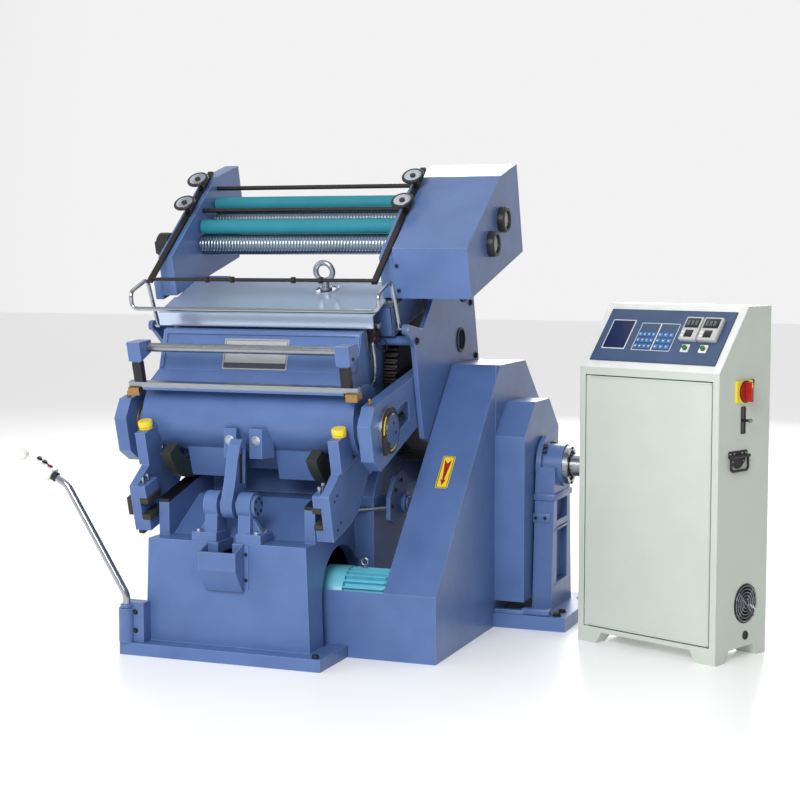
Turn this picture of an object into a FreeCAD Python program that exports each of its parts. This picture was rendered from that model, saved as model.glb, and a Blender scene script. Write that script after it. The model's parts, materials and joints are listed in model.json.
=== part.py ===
import FreeCAD, Part
import math
import os
import Sketcher
from FreeCAD import Placement, Rotation, Vector

# Rolling platen press for die cutting and hot foil stamping, with its control cabinet.
# Frame: origin on the floor at the middle of the foot plate, +X to the operator's right,
# +Y to the back, +Z up, millimetres. The bed, the platen and the foil unit lean forward as one,
# so their pieces are drawn in the press frame: its origin is the trunnion axis, its Y runs along
# the pull of the side arms and its Z along the working face.

DEGREES = {
    "press_tilt": 15.0,        # lean of the bed and platen
    "bar_slope": 25.0,         # slide bars of the foil unit against the press frame
    "roller_lean": 10.4,       # rubber roller over its steel roller
    "cover_slope": 7.2,        # top cover against the press frame
    "shoe_start": 194.0,       # front end of the rocker shoe's arc
    "shoe_sweep": 88.0,        # length of the rocker shoe's arc
    "mesh_angle": 70.3,        # drive shaft below the crank shaft
    "cabinet_turn": -23.2,     # cabinet turned towards the operator
    "station_slope": 29.0,     # push-button box
}

LENGTHS = {
    # Clearances
    "run_gap": 0.05,           # radial, between a shaft and its bore
    "seat_gap": 0.02,          # radial, between pieces that don't turn on each other
    "face_gap": 0.5,           # between faces that pass or roll on each other
    "side_gap": 1.0,           # between a moving piece and what stands beside it
    # Trunnion axis with the platen closed
    "trunnion_y": -245.0,
    "trunnion_z": 842.0,
    "trunnion_radius": 45.0,
    # Base casting
    "base_width": 816.0,
    "base_depth": 1200.0,
    "base_ahead": 355.0,       # foot plate's front before the trunnion
    "flange_thick": 46.0,
    "body_setback": 75.0,      # body front behind the flange front
    "body_foot": 336.0,        # half width at the flange
    "body_head": 322.0,        # half width at the top
    "body_top": 434.0,
    "body_wall": 40.0,
    "valley_flat": 125.0,      # level floor under the pillow blocks
    "valley_run": 210.0,       # slope behind it
    "deck_top": 560.0,         # seat of the bed webs
    "rear_half": 400.0,        # half width behind the rails
    "rail_inner": 280.0,       # inner side of a rail, from the middle
    "rail_width": 42.0,
    "rail_thick": 14.0,
    "rail_front": -262.0,      # along the press frame
    "rail_back": 120.0,
    "arch_radius": 190.0,      # opening for the motor in the right wall
    "channel_width": 60.0,
    "channel_depth": 54.0,
    # Oil trough
    "trough_width": 150.0,
    "trough_height": 176.0,
    "trough_foot": 20.0,
    "trough_lip": 90.0,
    "trough_wall": 6.0,
    "trough_dip": 26.0,        # front of the rim below its back
    # Pivot of the slotted link
    "pivot_behind_body": 55.0,
    "pivot_above_body": 134.0,
    "pivot_radius": 22.0,
    "pillow_inner": 40.0,
    "pillow_width": 55.0,
    "pillow_radius": 50.0,
    "pillow_foot": 100.0,
    "pillow_foot_thick": 34.0,
    "pillow_foot_depth": 106.0,
    "pillow_web": 72.0,
    "pivot_cap_radius": 40.0,
    "pivot_cap_thick": 12.0,
    "link_width": 46.0,
    "link_eye": 52.0,
    "link_height": 239.0,
    "link_lean": 46.0,         # back from the pivot at its top
    "link_front": 31.0,        # front edge before the line of the lean
    "link_slot": 40.0,
    "link_slot_foot": 75.0,
    "link_back": 72.0,         # back edge behind the pivot
    "link_rim": 14.0,          # behind the slot
    # Platen
    "platen_half": 415.0,
    "platen_face": 145.0,      # working face in front of the bed, from the trunnion
    "platen_head": 337.0,      # top of the working face
    "platen_low": 205.0,       # bottom of the working face, below the trunnion
    "platen_edge": 24.0,       # thickness at the top
    "panel_foot_u": 40.0,
    "panel_foot_v": 205.0,
    "shelf_front": -104.0,
    "shelf_top": 178.0,
    "shelf_break": -60.0,
    "shelf_drop": 10.0,
    "shelf_under_u": -30.0,    # underside of the shelf where it meets the barrel
    "shelf_under_v": 150.0,
    "belly_back": 66.0,
    "belly_top": -95.0,
    "belly_gap": 180.0,        # room for the slotted link
    "barrel_u": 33.0,
    "barrel_v": 24.0,
    "barrel_radius": 135.0,
    "barrel_half": 437.0,
    "journal_radius": 72.0,
    "roll_radius": 210.0,      # rocker shoe
    "shoe_inner": 140.0,
    "hook_plate_inner": 376.0,
    "hook_plate_outer": 408.0,
    "hook_boss_outer": 418.0,
    "hook_boss_top": 28.0,
    "hook_boss_front": -204.0,
    "hook_boss_back": -92.0,
    "hook_boss_foot": -100.0,
    "jaw_inner": 342.0,
    "jaw_front": -316.0,
    "jaw_top": -143.0,
    "jaw_foot": -321.0,
    "jaw_depth": 100.0,
    "jaw_notch_foot": -278.0,
    "jaw_notch_top": -190.0,
    "jaw_notch_depth": 30.0,
    "hook_heel_u": -141.0,
    "hook_heel_rise": 50.0,
    "bar_depth": 25.0,
    "bar_height": 20.0,
    "block_length": 46.0,
    "block_depth": 50.0,
    "block_height": 30.0,
    "rest_half": 400.0,
    "rest_radius": 17.0,
    "rest_u": -42.0,
    "rest_v": 318.0,
    "bracket_width": 54.0,
    "bracket_depth": 84.0,
    "bracket_height": 76.0,
    "post_width": 34.0,
    "post_depth": 26.0,
    "bracket_half": 78.0,     # half width of the link's flange
    "flange_height": 111.0,
    "flange_low": 162.0,       # flange foot above the link pivot
    "flange_ahead": 93.0,      # flange face behind the link pivot
    "flange_flare": 60.0,      # wider where it meets the barrel
    "flange_gap": 5.0,         # beside the link
    # Side arms and drive
    "stroke": 150.0,
    "arm_thick": 50.0,
    "arm_length": 691.0,
    "arm_nose": 154.0,
    "arm_nose_half": 68.0,
    "arm_shoulder": 96.0,
    "arm_half": 126.0,
    "arm_mid": 330.0,
    "arm_mid_half": 100.0,
    "arm_eye": 78.0,
    "arm_pocket_near": 104.0,
    "arm_pocket_far": 236.0,
    "arm_pocket_half": 44.0,
    "arm_pocket_deep": 22.0,
    "pin_radius": 30.0,
    "dial_radius": 88.0,
    "dial_thick": 12.0,
    "dial_face_radius": 64.0,
    "dial_face_thick": 10.0,
    "gear_module": 8.0,
    "gear_width": 50.0,
    "gear_gap": 12.0,          # bed web to gear
    "arm_gap": 16.0,           # gear to arm
    "frame_gap": 3.0,          # arm to side frame
    "journal_gap": 6.0,        # platen journal to arm
    "guard_gap": 3.0,          # side frame to belt guard
    "crank_shaft_radius": 50.0,
    "shaft_radius": 45.0,
    "shaft_stub": 105.0,       # shaft beyond the bearing housing
    # Bed
    "bed_half": 400.0,
    "plate_gap": 3.0,          # closed platen to heating plate
    "plate_half": 385.0,
    "plate_thick": 40.0,
    "plate_head": 330.0,
    "plate_low": 200.0,
    "bed_thick": 232.0,
    "bed_head": 385.0,
    "bed_low": 230.0,
    "web_thick": 50.0,
    "web_back": 1022.0,
    "web_knee": -80.0,
    "web_heel": 870.0,
    "web_heel_top": -340.0,
    "bearing_drop": 84.0,      # web below the drive shaft
    "top_deck_front": 482.0,
    "top_deck_thick": 36.0,
    "deck_lip": 10.0,          # side deck inside the bed web
    "cover_half": 450.0,
    "cover_front": 153.0,
    "cover_low": 344.0,
    "cover_top": 396.0,
    "cover_back": 470.0,
    "cover_sheet": 8.0,
    "eye_x": 170.0,
    "eye_u": 390.0,
    "eye_ring": 35.0,
    "eye_wire": 11.0,
    "eye_collar": 24.0,
    "eye_stem": 15.0,
    "eye_rise": 72.0,          # ring centre above the cover
    "eye_hole": 44.0,
    # Side frames
    "frame_thick": 18.0,
    "frame_front": 310.0,
    "frame_ledge_v": 263.0,
    "frame_ledge_back": 415.0,
    "frame_brow_u": 540.0,
    "frame_brow_v": 337.0,
    "frame_head_u": 600.0,
    "frame_back": 1035.0,
    "frame_knee": -60.0,
    "frame_heel": 990.0,
    "frame_low": -330.0,
    "frame_toe": 620.0,
    "frame_chin": -150.0,
    "frame_hole_u": 828.0,
    "frame_hole_v": 88.0,
    "frame_hole": 46.0,
    "tie_radius": 25.0,
    "tie_inset": 38.0,
    "tie_lead": 22.0,          # front tie from the plate's corner
    "tie_rear_v": 200.0,
    "left_deck_back": 590.0,   # the left deck carries only the front of its housing
    "left_rear_v": 240.0,
    "bail_pivot_u": 252.0,
    "bail_pivot_v": 312.0,
    "lug_radius": 20.0,
    # Foil unit
    "foil_inner": 440.0,
    "foil_plate": 60.0,
    "foil_front": 303.0,
    "foil_brow": 580.0,
    "foil_crest": 767.0,
    "foil_back": 979.0,
    "foil_box_width": 295.0,
    "foil_box_front": 294.0,
    "foil_box_brow": 616.0,
    "foil_box_crest": 760.0,
    "foil_box_top": 782.0,
    "foil_wall": 4.0,
    "foil_rake": 95.0,         # left housing, cut back at the rear of its foot
    "foil_rake_rise": 240.0,
    "roller_half": 430.0,
    "steel_u": 569.0,
    "steel_v": 560.0,
    "steel_radius": 41.0,
    "rubber_radius": 30.0,
    "roller_step_u": 152.0,
    "roller_step_v": 57.0,
    "roller_journal": 12.0,
    "journal_depth": 20.0,
    "cap_radius": 50.0,
    "cap_thick": 15.0,
    "left_cap_u": 430.0,
    "left_cap_v": 594.0,
    "left_cap_thick": 46.0,
    "slide_bar_x": 459.0,
    "slide_bar_width": 22.0,
    "slide_bar_thick": 13.0,
    "slide_bar_start": 160.0,
    "slide_bar_length": 690.0,
    "guide_rod_radius": 7.0,
    "guide_rod_inset": 12.0,
    "collar_radius": 12.0,
    "collar_width": 14.0,
    "press_rod_radius": 9.0,
    "press_rod_u": 615.0,
    "press_rod_v": 690.0,
    "wheel_near": 425.0,       # lower handwheel along its bar
    "wheel_step": 153.0,
    "wheel_rise": 44.0,
    "wheel_ring": 38.0,
    "wheel_wire": 7.0,
    "wheel_hub": 11.0,
    "wheel_hub_height": 18.0,
    "wheel_stem": 6.0,
    "wheel_spoke": 3.5,
    "loop_x": 700.0,
    "loop_u": 436.0,
    "loop_span": 120.0,
    "loop_drop": 62.0,
    "loop_radius": 7.0,
    # Safety bail
    "bail_half": 514.0,
    "bail_tube": 8.0,
    "bail_bend": 26.0,
    "bail_shoulder_u": 216.0,
    "bail_shoulder_v": 513.0,
    "bail_corner_u": 79.0,
    "bail_corner_v": 500.0,
    "bail_rail_u": 70.0,
    "bail_rail_v": 436.0,
    # Belt guard, clutch casing and outboard bearing
    "guard_width": 205.0,
    "guard_sheet": 4.0,
    "guard_reach": 415.0,      # flats of the guard round the drive shaft
    "guard_front": -347.0,
    "guard_low": 250.0,
    "guard_crest_front": 188.0,
    "guard_crest_back": 158.0,
    "guard_rear_shoulder": 200.0,
    "screen_left": 276.0,
    "screen_lap": 4.0,
    "shaft_hole": 60.0,
    "casing_width": 122.0,
    "casing_gap": 50.0,        # casing above the pedestal foot
    "casing_front": 252.0,     # front of the casing before the shaft
    "casing_back": 245.0,
    "casing_top": 263.0,
    "casing_shoulder": 135.0,
    "casing_crest_half": 99.0,
    "pedestal_width": 296.0,
    "pedestal_depth": 528.0,
    "pedestal_foot": 56.0,
    "column_gap": 6.0,         # clutch casing to column
    "column_width": 80.0,
    "column_foot_half": 152.0,
    "column_head_half": 112.0,
    "column_window_deep": 28.0,
    "column_frame": 34.0,
    "housing_radius": 86.0,
    "housing_flange": 116.0,
    "housing_flange_thick": 20.0,
    "housing_length": 98.0,
    "bearing_cap_thick": 22.0,
    "bearing_cap_bore": 62.0,
    "bearing_lip": 8.0,
    # Motor and belts
    "motor_y": -210.0,
    "motor_z": 205.0,
    "motor_left": 282.0,
    "cowl_length": 92.0,
    "cowl_radius": 112.0,
    "motor_length": 262.0,
    "motor_core": 92.0,
    "fin_reach": 110.0,
    "fin_thick": 6.0,
    "motor_plate_thick": 22.0,
    "motor_plate_half": 104.0,
    "motor_foot_half": 30.0,
    "motor_shaft": 14.0,
    "pulley_radius": 70.0,
    "pulley_left": 606.0,
    "flywheel_radius": 378.0,
    "flywheel_rim": 52.0,
    "flywheel_hub": 92.0,
    "flywheel_web": 30.0,
    "flywheel_width": 96.0,
    "belt_width": 14.0,
    "belt_thick": 9.0,
    "belt_pitch": 26.0,
    # Swivel push-button station
    "socket_inset": 21.0,      # socket axis from the end of the foot plate
    "socket_ahead": 55.0,      # socket axis in front of the base body
    "socket_radius": 30.0,
    "socket_height": 128.0,
    "socket_block_width": 70.0,
    "socket_block_height": 150.0,
    "swivel_radius": 14.0,
    "swivel_rise": 176.0,
    "swivel_reach": 249.0,
    "swivel_climb": 404.0,
    "swivel_tip_reach": 59.0,
    "swivel_bend": 60.0,
    "box_length": 112.0,
    "box_depth": 54.0,
    "box_height": 46.0,
    "box_round": 7.0,
    "ball_radius": 22.0,
    "ball_stem": 8.0,
    "ball_reach": 40.0,
    "button_radius": 8.5,
    "button_height": 10.0,
    "button_well": 6.0,
    "button_first": 30.0,
    "button_step": 26.0,
    # Control cabinet
    "cabinet_x": 1132.0,
    "cabinet_y": 244.0,
    "cabinet_width": 629.0,
    "cabinet_depth": 335.0,
    "cabinet_front": 1063.0,
    "cabinet_top": 1302.0,
    "cabinet_crown": 148.0,
    "cabinet_sheet": 3.0,
    "foot_height": 44.0,
    "foot_length": 86.0,
    "foot_slope": 26.0,
    "door_inset": 27.0,
    "door_low": 62.0,
    "door_head": 28.0,
    "door_thick": 18.0,
    "door_gap": 4.0,
    "door_pin": 4.0,
    "door_pin_x": 8.0,         # pivot pin from the door's edge
    "door_pin_y": 9.0,         # pivot pin behind the door's face
    "door_pin_rise": 12.0,
    "fascia_inset": 32.0,
    "fascia_thick": 6.0,
    "panel_button_radius": 9.0,
    "panel_button_height": 9.0,
    "panel_button_x": 440.5,
    "panel_button_step": 79.0,
    "panel_button_up": 101.0,
    "knob_y": 160.0,
    "knob_z": 993.0,
    "knob_radius": 36.0,
    "knob_thick": 14.0,
    "knob_grip": 16.0,
    "knob_grip_height": 22.0,
    "lever_y": 157.0,
    "lever_z": 888.0,
    "lever_length": 34.0,
    "lever_radius": 5.0,
    "latch_y": 126.0,
    "latch_z": 758.0,
    "latch_span": 110.0,
    "latch_drop": 52.0,
    "latch_wire": 5.0,
    "latch_stand": 9.0,
    "fan_y": 192.0,
    "fan_z": 205.0,
    "fan_radius": 62.0,
    "fan_clear": 4.0,
    "fan_hub": 20.0,
    "fan_depth": 18.0,
    "fan_inset": 10.0,
}

GEAR_TEETH = 84
PINION_TEETH = 28
MOTOR_FINS = 26
BELTS = 3
FAN_BLADES = 7
WHEEL_SPOKES = 3
COLLARS = {"outer_left": -226.0, "inner_left": -119.0, "inner_right": 137.0, "outer_right": 250.0}

# Places that follow from the driving sizes, worked out by the sheet.
DERIVED = {
    "base_front": "trunnion_y - base_ahead",
    "base_back": "trunnion_y - base_ahead + base_depth",
    "body_front": "trunnion_y - base_ahead + body_setback",
    "body_back": "trunnion_y - base_ahead + base_depth - body_setback / 2",
    "pivot_y": "body_front + pivot_behind_body",
    "pivot_z": "body_top + pivot_above_body",
    "rail_v": "0 - roll_radius - face_gap",
    "rail_seat": "rail_v - rail_thick",
    "rail_outer": "rail_inner + rail_width",
    "wall_front_y": "trunnion_y + rail_front * cos(press_tilt) - rail_seat * sin(press_tilt)",
    "wall_front_z": "trunnion_z + rail_front * sin(press_tilt) + rail_seat * cos(press_tilt)",
    "wall_back_y": "trunnion_y + rail_back * cos(press_tilt) - rail_seat * sin(press_tilt)",
    "wall_back_z": "trunnion_z + rail_back * sin(press_tilt) + rail_seat * cos(press_tilt)",
    "gear_inner": "bed_half + gear_gap",
    "arm_inner": "bed_half + gear_gap + gear_width + arm_gap",
    "journal_half": "arm_inner - journal_gap",
    "bar_half": "journal_half",
    "frame_inner": "arm_inner + arm_thick + frame_gap",
    "guard_inner": "frame_inner + frame_thick + guard_gap",
    "plate_front": "platen_face + plate_gap",
    "bed_front": "plate_front + plate_thick",
    "bed_back": "bed_front + bed_thick",
    "foil_foot": "bed_head + top_deck_thick",
    "crank_u": "arm_length - stroke / 2",
    "gear_radius": "gear_module * gear_teeth / 2",
    "pinion_radius": "gear_module * pinion_teeth / 2",
    "shaft_u": "crank_u + (gear_radius + pinion_radius) * cos(mesh_angle)",
    "shaft_v": "0 - (gear_radius + pinion_radius) * sin(mesh_angle)",
    "shaft_y": "trunnion_y + shaft_u * cos(press_tilt) - shaft_v * sin(press_tilt)",
    "shaft_z": "trunnion_z + shaft_u * sin(press_tilt) + shaft_v * cos(press_tilt)",
    "deck_front_y": "wall_back_y + side_gap * 10",
    "deck_rise": "deck_top - trunnion_z",
    "deck_front_run": "deck_front_y - trunnion_y",
    "deck_back_run": "body_back - trunnion_y",
    "seat_front_u": "deck_front_run * cos(press_tilt) + deck_rise * sin(press_tilt)",
    "seat_front_v": "deck_rise * cos(press_tilt) - deck_front_run * sin(press_tilt)",
    "seat_back_u": "deck_back_run * cos(press_tilt) + deck_rise * sin(press_tilt)",
    "seat_back_v": "deck_rise * cos(press_tilt) - deck_back_run * sin(press_tilt)",
    "skirt_u": "seat_front_u + web_thick * cos(press_tilt)",
    "skirt_v": "seat_front_v - web_thick * sin(press_tilt)",
    "cover_peak": "cover_top + (cover_back - cover_front) * tan(cover_slope)",
    "rubber_u": "steel_u + (steel_radius + rubber_radius + face_gap) * sin(roller_lean)",
    "rubber_v": "steel_v + (steel_radius + rubber_radius + face_gap) * cos(roller_lean)",
    "foil_top": "foil_brow + (foil_crest - foil_front) * tan(bar_slope)",
    "slide_bar_v": "foil_brow - (foil_front - slide_bar_start) * tan(bar_slope)",
    "pin_u": "arm_length",
    "guard_top": "shaft_z + guard_reach",
    "guard_crest_front_y": "shaft_y - guard_crest_front",
    "guard_crest_back_y": "shaft_y + guard_crest_back",
    "guard_rear_y": "shaft_y + guard_reach",
    "guard_rear_z": "shaft_z + guard_rear_shoulder",
    "guard_outer": "guard_inner + guard_width",
    "casing_outer": "guard_outer + casing_width",
    "column_inner": "casing_outer + column_gap",
    "housing_end": "column_inner + housing_length",
    "shaft_end": "housing_end + shaft_stub",
    "cabinet_brow": "cabinet_depth - cabinet_crown",
    "fascia_rise": "cabinet_top - cabinet_front",
    "fascia_length": "sqrt(cabinet_brow * cabinet_brow + fascia_rise * fascia_rise)",
    "fascia_angle": "atan(fascia_rise / cabinet_brow)",
    "eye_cover_v": "cover_top + (eye_u - cover_front) * tan(cover_slope)",
    "socket_x": "socket_inset - base_width / 2",
    "swivel_foot_z": "flange_thick + side_gap",
    "swivel_tip_climb": "swivel_tip_reach * tan(station_slope)",
    "box_x": "socket_x - swivel_reach - swivel_tip_reach",
    "box_z": "flange_thick + swivel_rise + swivel_climb + swivel_tip_climb",
    "socket_y": "body_front - socket_ahead",
}

FUNCTIONS = {"sin", "cos", "tan", "atan", "sqrt"}

doc = FreeCAD.newDocument("platen_press")
sheet = doc.addObject("Spreadsheet::Sheet", "dims")
nodes = []


def words(text):
    """Split an expression into names and everything between them."""
    pieces = []
    name = ""
    for letter in text + " ":
        if letter.isalpha() or letter == "_":
            name += letter
            continue
        if name:
            pieces.append(name)
            name = ""
        pieces.append(letter)
    return pieces


def fill_sheet():
    """Write every driving size and derived place into the sheet, one alias each."""
    driving = dict(DEGREES)
    driving.update(LENGTHS)
    driving.update({"gear_teeth": GEAR_TEETH, "pinion_teeth": PINION_TEETH})
    cells = {alias: str(value) for alias, value in driving.items()}
    cells.update({alias: "=" + formula for alias, formula in DERIVED.items()})
    for row, alias in enumerate(cells, start=1):
        sheet.set("A%d" % row, alias)
        sheet.setAlias("B%d" % row, alias)
    for row, text in enumerate(cells.values(), start=1):
        sheet.set("B%d" % row, text)
    doc.recompute()


def value(alias):
    """Number that the sheet holds under an alias."""
    return float(getattr(sheet, alias))


def number(text):
    """Present value of a sum of products of aliases and numbers, without brackets."""
    total = 0.0
    product = None
    sign = 1.0
    divide = False
    for word in (str(text).replace("-", " - ").replace("+", " + ") + " +").split():
        if word in "+-":
            if product is not None:
                total += sign * product
            sign = -1.0 if word == "-" else 1.0
            product = None
        elif word in "*/":
            divide = word == "/"
        else:
            factor = value(word) if word[0].isalpha() else float(word)
            if product is None:
                product = factor
            else:
                product = product / factor if divide else product * factor
    return total


def bind(obj, prop, text):
    """Tie a property to an expression of sheet aliases."""
    named = [w if w in FUNCTIONS or not w[0].isalpha() else "dims." + w for w in words(str(text))]
    obj.setExpression(prop, "".join(named).strip())


def put(obj, x="0", y="0", z="0"):
    """Tie the place of an object to expressions."""
    for axis, text in zip("xyz", (x, y, z)):
        bind(obj, "Placement.Base." + axis, text)
    return obj


def span(low, high):
    """Expression for the distance between two places."""
    return "(%s) - (%s)" % (high, low)


def block(name, x, y, z):
    """Box between pairs of faces."""
    box = doc.addObject("Part::Box", name)
    for prop, pair in zip(("Length", "Width", "Height"), (x, y, z)):
        bind(box, prop, span(*pair))
    return put(box, x[0], y[0], z[0])


TURN = {"x": Rotation(Vector(1, 1, 1), 120), "y": Rotation(Vector(1, 0, 0), -90), "z": Rotation()}


def rod(name, axis, radius, ends, a, b, start=None, sweep=None):
    """Round bar along an axis between two places; a and b place it across the axis."""
    bar = doc.addObject("Part::Cylinder", name)
    bind(bar, "Radius", radius)
    bind(bar, "Height", span(*ends))
    turn = TURN[axis]
    if sweep:
        bind(bar, "Angle", sweep)
        turn = turn.multiply(Rotation(Vector(0, 0, 1), value(start)))
    bar.Placement = Placement(Vector(), turn)
    where = {"x": (ends[0], a, b), "y": (a, ends[0], b), "z": (a, b, ends[0])}[axis]
    return put(bar, *where)


def slab(name, plane, points, ends):
    """Plate of a straight-sided outline: side is (Y, Z) along X, front (X, Z) along Y, top (X, Y)."""
    sketch = doc.addObject("Sketcher::SketchObject", name + "_outline")
    turn = {"side": TURN["x"], "front": Rotation(Vector(1, 0, 0), 90), "top": Rotation()}[plane]
    sketch.Placement = Placement(Vector(), turn)
    corners = [Vector(number(a), number(b), 0) for a, b in points]
    count = len(corners)
    for i in range(count):
        sketch.addGeometry(Part.LineSegment(corners[i], corners[(i + 1) % count]), False)
    for i in range(count):
        sketch.addConstraint(Sketcher.Constraint("Coincident", i, 2, (i + 1) % count, 1))
    for i, (a, b) in enumerate(points):
        for kind, text in (("DistanceX", a), ("DistanceY", b)):
            place = sketch.addConstraint(Sketcher.Constraint(kind, -1, 1, i, 1, number(text)))
            bind(sketch, "Constraints[%d]" % place, text)
    plate = doc.addObject("Part::Extrusion", name)
    plate.Base = sketch
    plate.DirMode = "Normal"
    plate.Solid = True
    bind(plate, "LengthFwd", span(*ends))
    bind(sketch, "Placement.Base." + {"side": "x", "front": "y", "top": "z"}[plane],
         ends[1] if plane == "front" else ends[0])
    return plate


def fuse(name, pieces):
    """Join pieces into one solid."""
    joined = doc.addObject("Part::MultiFuse", name)
    joined.Shapes = pieces
    joined.Refine = True
    return joined


def cut(name, base, tools):
    """Take tools away from a piece."""
    result = doc.addObject("Part::Cut", name)
    result.Base = base
    result.Tool = tools[0] if len(tools) == 1 else fuse(name + "_tools", tools)
    result.Refine = True
    return result


def group(name, pieces):
    """Separate solids that share a node."""
    together = doc.addObject("Part::Compound", name)
    together.Links = pieces
    return together


def mirrored(name, piece):
    """The same piece on the left side."""
    twin = doc.addObject("Part::Mirroring", name)
    twin.Source = piece
    twin.Normal = Vector(1, 0, 0)
    return twin


def rounded(name, piece, radius, along=None):
    """Round the edges of a piece, or only those along one axis."""
    doc.recompute()
    edges = []
    for i, edge in enumerate(piece.Shape.Edges, start=1):
        if along is None or abs(edge.tangentAt(edge.FirstParameter).dot(along)) > 0.999:
            edges.append((i, value(radius), value(radius)))
    soft = doc.addObject("Part::Fillet", name)
    soft.Base = piece
    soft.Edges = edges
    return soft


def keep(piece, label):
    """Name a finished sub-part."""
    piece.Label = label
    nodes.append(piece)
    return piece


def in_press(piece):
    """Set a piece drawn in the press frame into its place on the machine."""
    piece.Placement = Placement(Vector(), Rotation(Vector(1, 0, 0), value("press_tilt")))
    bind(piece, "Placement.Rotation.Angle", "press_tilt")
    return put(piece, "0", "trunnion_y", "trunnion_z")


def press_y(u, v):
    """Machine Y of a point of the press frame."""
    return "trunnion_y + (%s) * cos(press_tilt) - (%s) * sin(press_tilt)" % (u, v)


def press_z(u, v):
    """Machine Z of a point of the press frame."""
    return "trunnion_z + (%s) * sin(press_tilt) + (%s) * cos(press_tilt)" % (u, v)


def tube(name, points, radius, bend):
    """Bent tube through points, straight runs joined by tangent arcs."""
    edges = []
    last = points[0]
    for before, corner, after in zip(points, points[1:], points[2:]):
        inward = (before - corner).normalize()
        onward = (after - corner).normalize()
        half = inward.getAngle(onward) / 2
        reach = bend / math.tan(half)
        middle = (inward + onward).normalize()
        centre = corner + middle * (bend / math.sin(half))
        first = corner + inward * reach
        second = corner + onward * reach
        edges.append(Part.LineSegment(last, first).toShape())
        edges.append(Part.Arc(first, centre - middle * bend, second).toShape())
        last = second
    edges.append(Part.LineSegment(last, points[-1]).toShape())
    path = Part.Wire(edges)
    ring = Part.Wire([Part.makeCircle(radius, points[0], points[1] - points[0])])
    bent = doc.addObject("Part::Feature", name)
    bent.Shape = path.makePipeShell([ring], True, True)
    return bent


def base():
    """Hollow base casting with a foot flange, a valley, two rail walls and the motor arch."""
    flange = block("base_flange", ("-base_width / 2", "base_width / 2"), ("base_front", "base_back"),
                   ("0", "flange_thick"))
    body = slab("base_body", "front", [("-body_foot", "flange_thick"), ("body_foot", "flange_thick"),
                                       ("body_head", "body_top"), ("-body_head", "body_top")],
                ("body_front", "body_back"))
    valley = slab("base_valley", "side", [
        ("body_front + valley_flat", "body_top"), ("body_front + valley_flat + valley_run", "deck_top"),
        ("body_back", "deck_top"), ("body_back", "body_top")], ("-body_head", "body_head"))
    wall = slab("base_rail_wall", "side", [
        ("wall_front_y", "body_top"), ("wall_front_y", "wall_front_z"), ("wall_back_y", "wall_back_z"),
        ("wall_back_y", "body_top")], ("rail_inner", "rail_outer"))
    rear = block("base_rear", ("-rear_half", "rear_half"), ("deck_front_y", "body_back"),
                 ("flange_thick", "deck_top"))
    solid = fuse("base_solid", [flange, body, valley, rear, wall, mirrored("base_rail_wall_left", wall)])
    hollow = block("base_hollow", ("body_wall - body_head", "body_head - body_wall"),
                   ("body_front + body_wall", "body_back - body_wall"),
                   ("flange_thick", "body_top - body_wall"))
    attic = block("base_attic", ("body_wall - rear_half", "rear_half - body_wall"),
                  ("deck_front_y + body_wall", "body_back - body_wall"),
                  ("flange_thick", "deck_top - body_wall"))
    arch = rod("base_arch", "x", "arch_radius", ("body_head - body_wall * 2", "body_foot + side_gap"),
               "motor_y", "motor_z")
    doorway = block("base_doorway", ("body_head - body_wall * 2", "body_foot + side_gap"),
                    ("motor_y - arch_radius", "motor_y + arch_radius"), ("flange_thick", "motor_z"))
    channel = block("base_channel", ("-channel_width / 2", "channel_width / 2"),
                    ("body_front - side_gap", "body_front + valley_flat"),
                    ("body_top - channel_depth", "body_top + side_gap"))
    keep(cut("base_casting", solid, [hollow, attic, arch, doorway, channel]), "base_casting")


def trough():
    """Oil trough hung on the front of the base, open at the top."""
    front = "body_front - body_setback"
    foot = "body_top - trough_height"
    outer = slab("trough_outer", "side", [
        ("body_front", foot), ("body_front - trough_foot", foot), (front, "body_top - trough_lip"),
        (front, "body_top - trough_dip"), ("body_front", "body_top")],
        ("-trough_width / 2", "trough_width / 2"))
    inner = slab("trough_inner", "side", [
        ("body_front - trough_wall", foot + " + trough_wall"),
        ("body_front - trough_foot", foot + " + trough_wall"),
        (front + " + trough_wall", "body_top - trough_lip + trough_wall"),
        (front + " + trough_wall", "body_top + side_gap"),
        ("body_front - trough_wall", "body_top + side_gap")],
        ("trough_wall - trough_width / 2", "trough_width / 2 - trough_wall"))
    mouth = block("trough_mouth", ("-channel_width / 2", "channel_width / 2"),
                  ("body_front - trough_wall * 2", "body_front + side_gap"),
                  ("body_top - channel_depth", "body_top + side_gap"))
    keep(cut("oil_trough", outer, [inner, mouth]), "oil_trough")


def rails():
    """Hardened flat rails that the rocker shoes roll on."""
    rail = block("rail_right", ("rail_inner", "rail_outer"), ("rail_front", "rail_back"),
            ("rail_seat", "rail_v"))
    keep(in_press(group("rocker_rails", [rail, mirrored("rail_left", rail)])), "rocker_rails")


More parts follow.
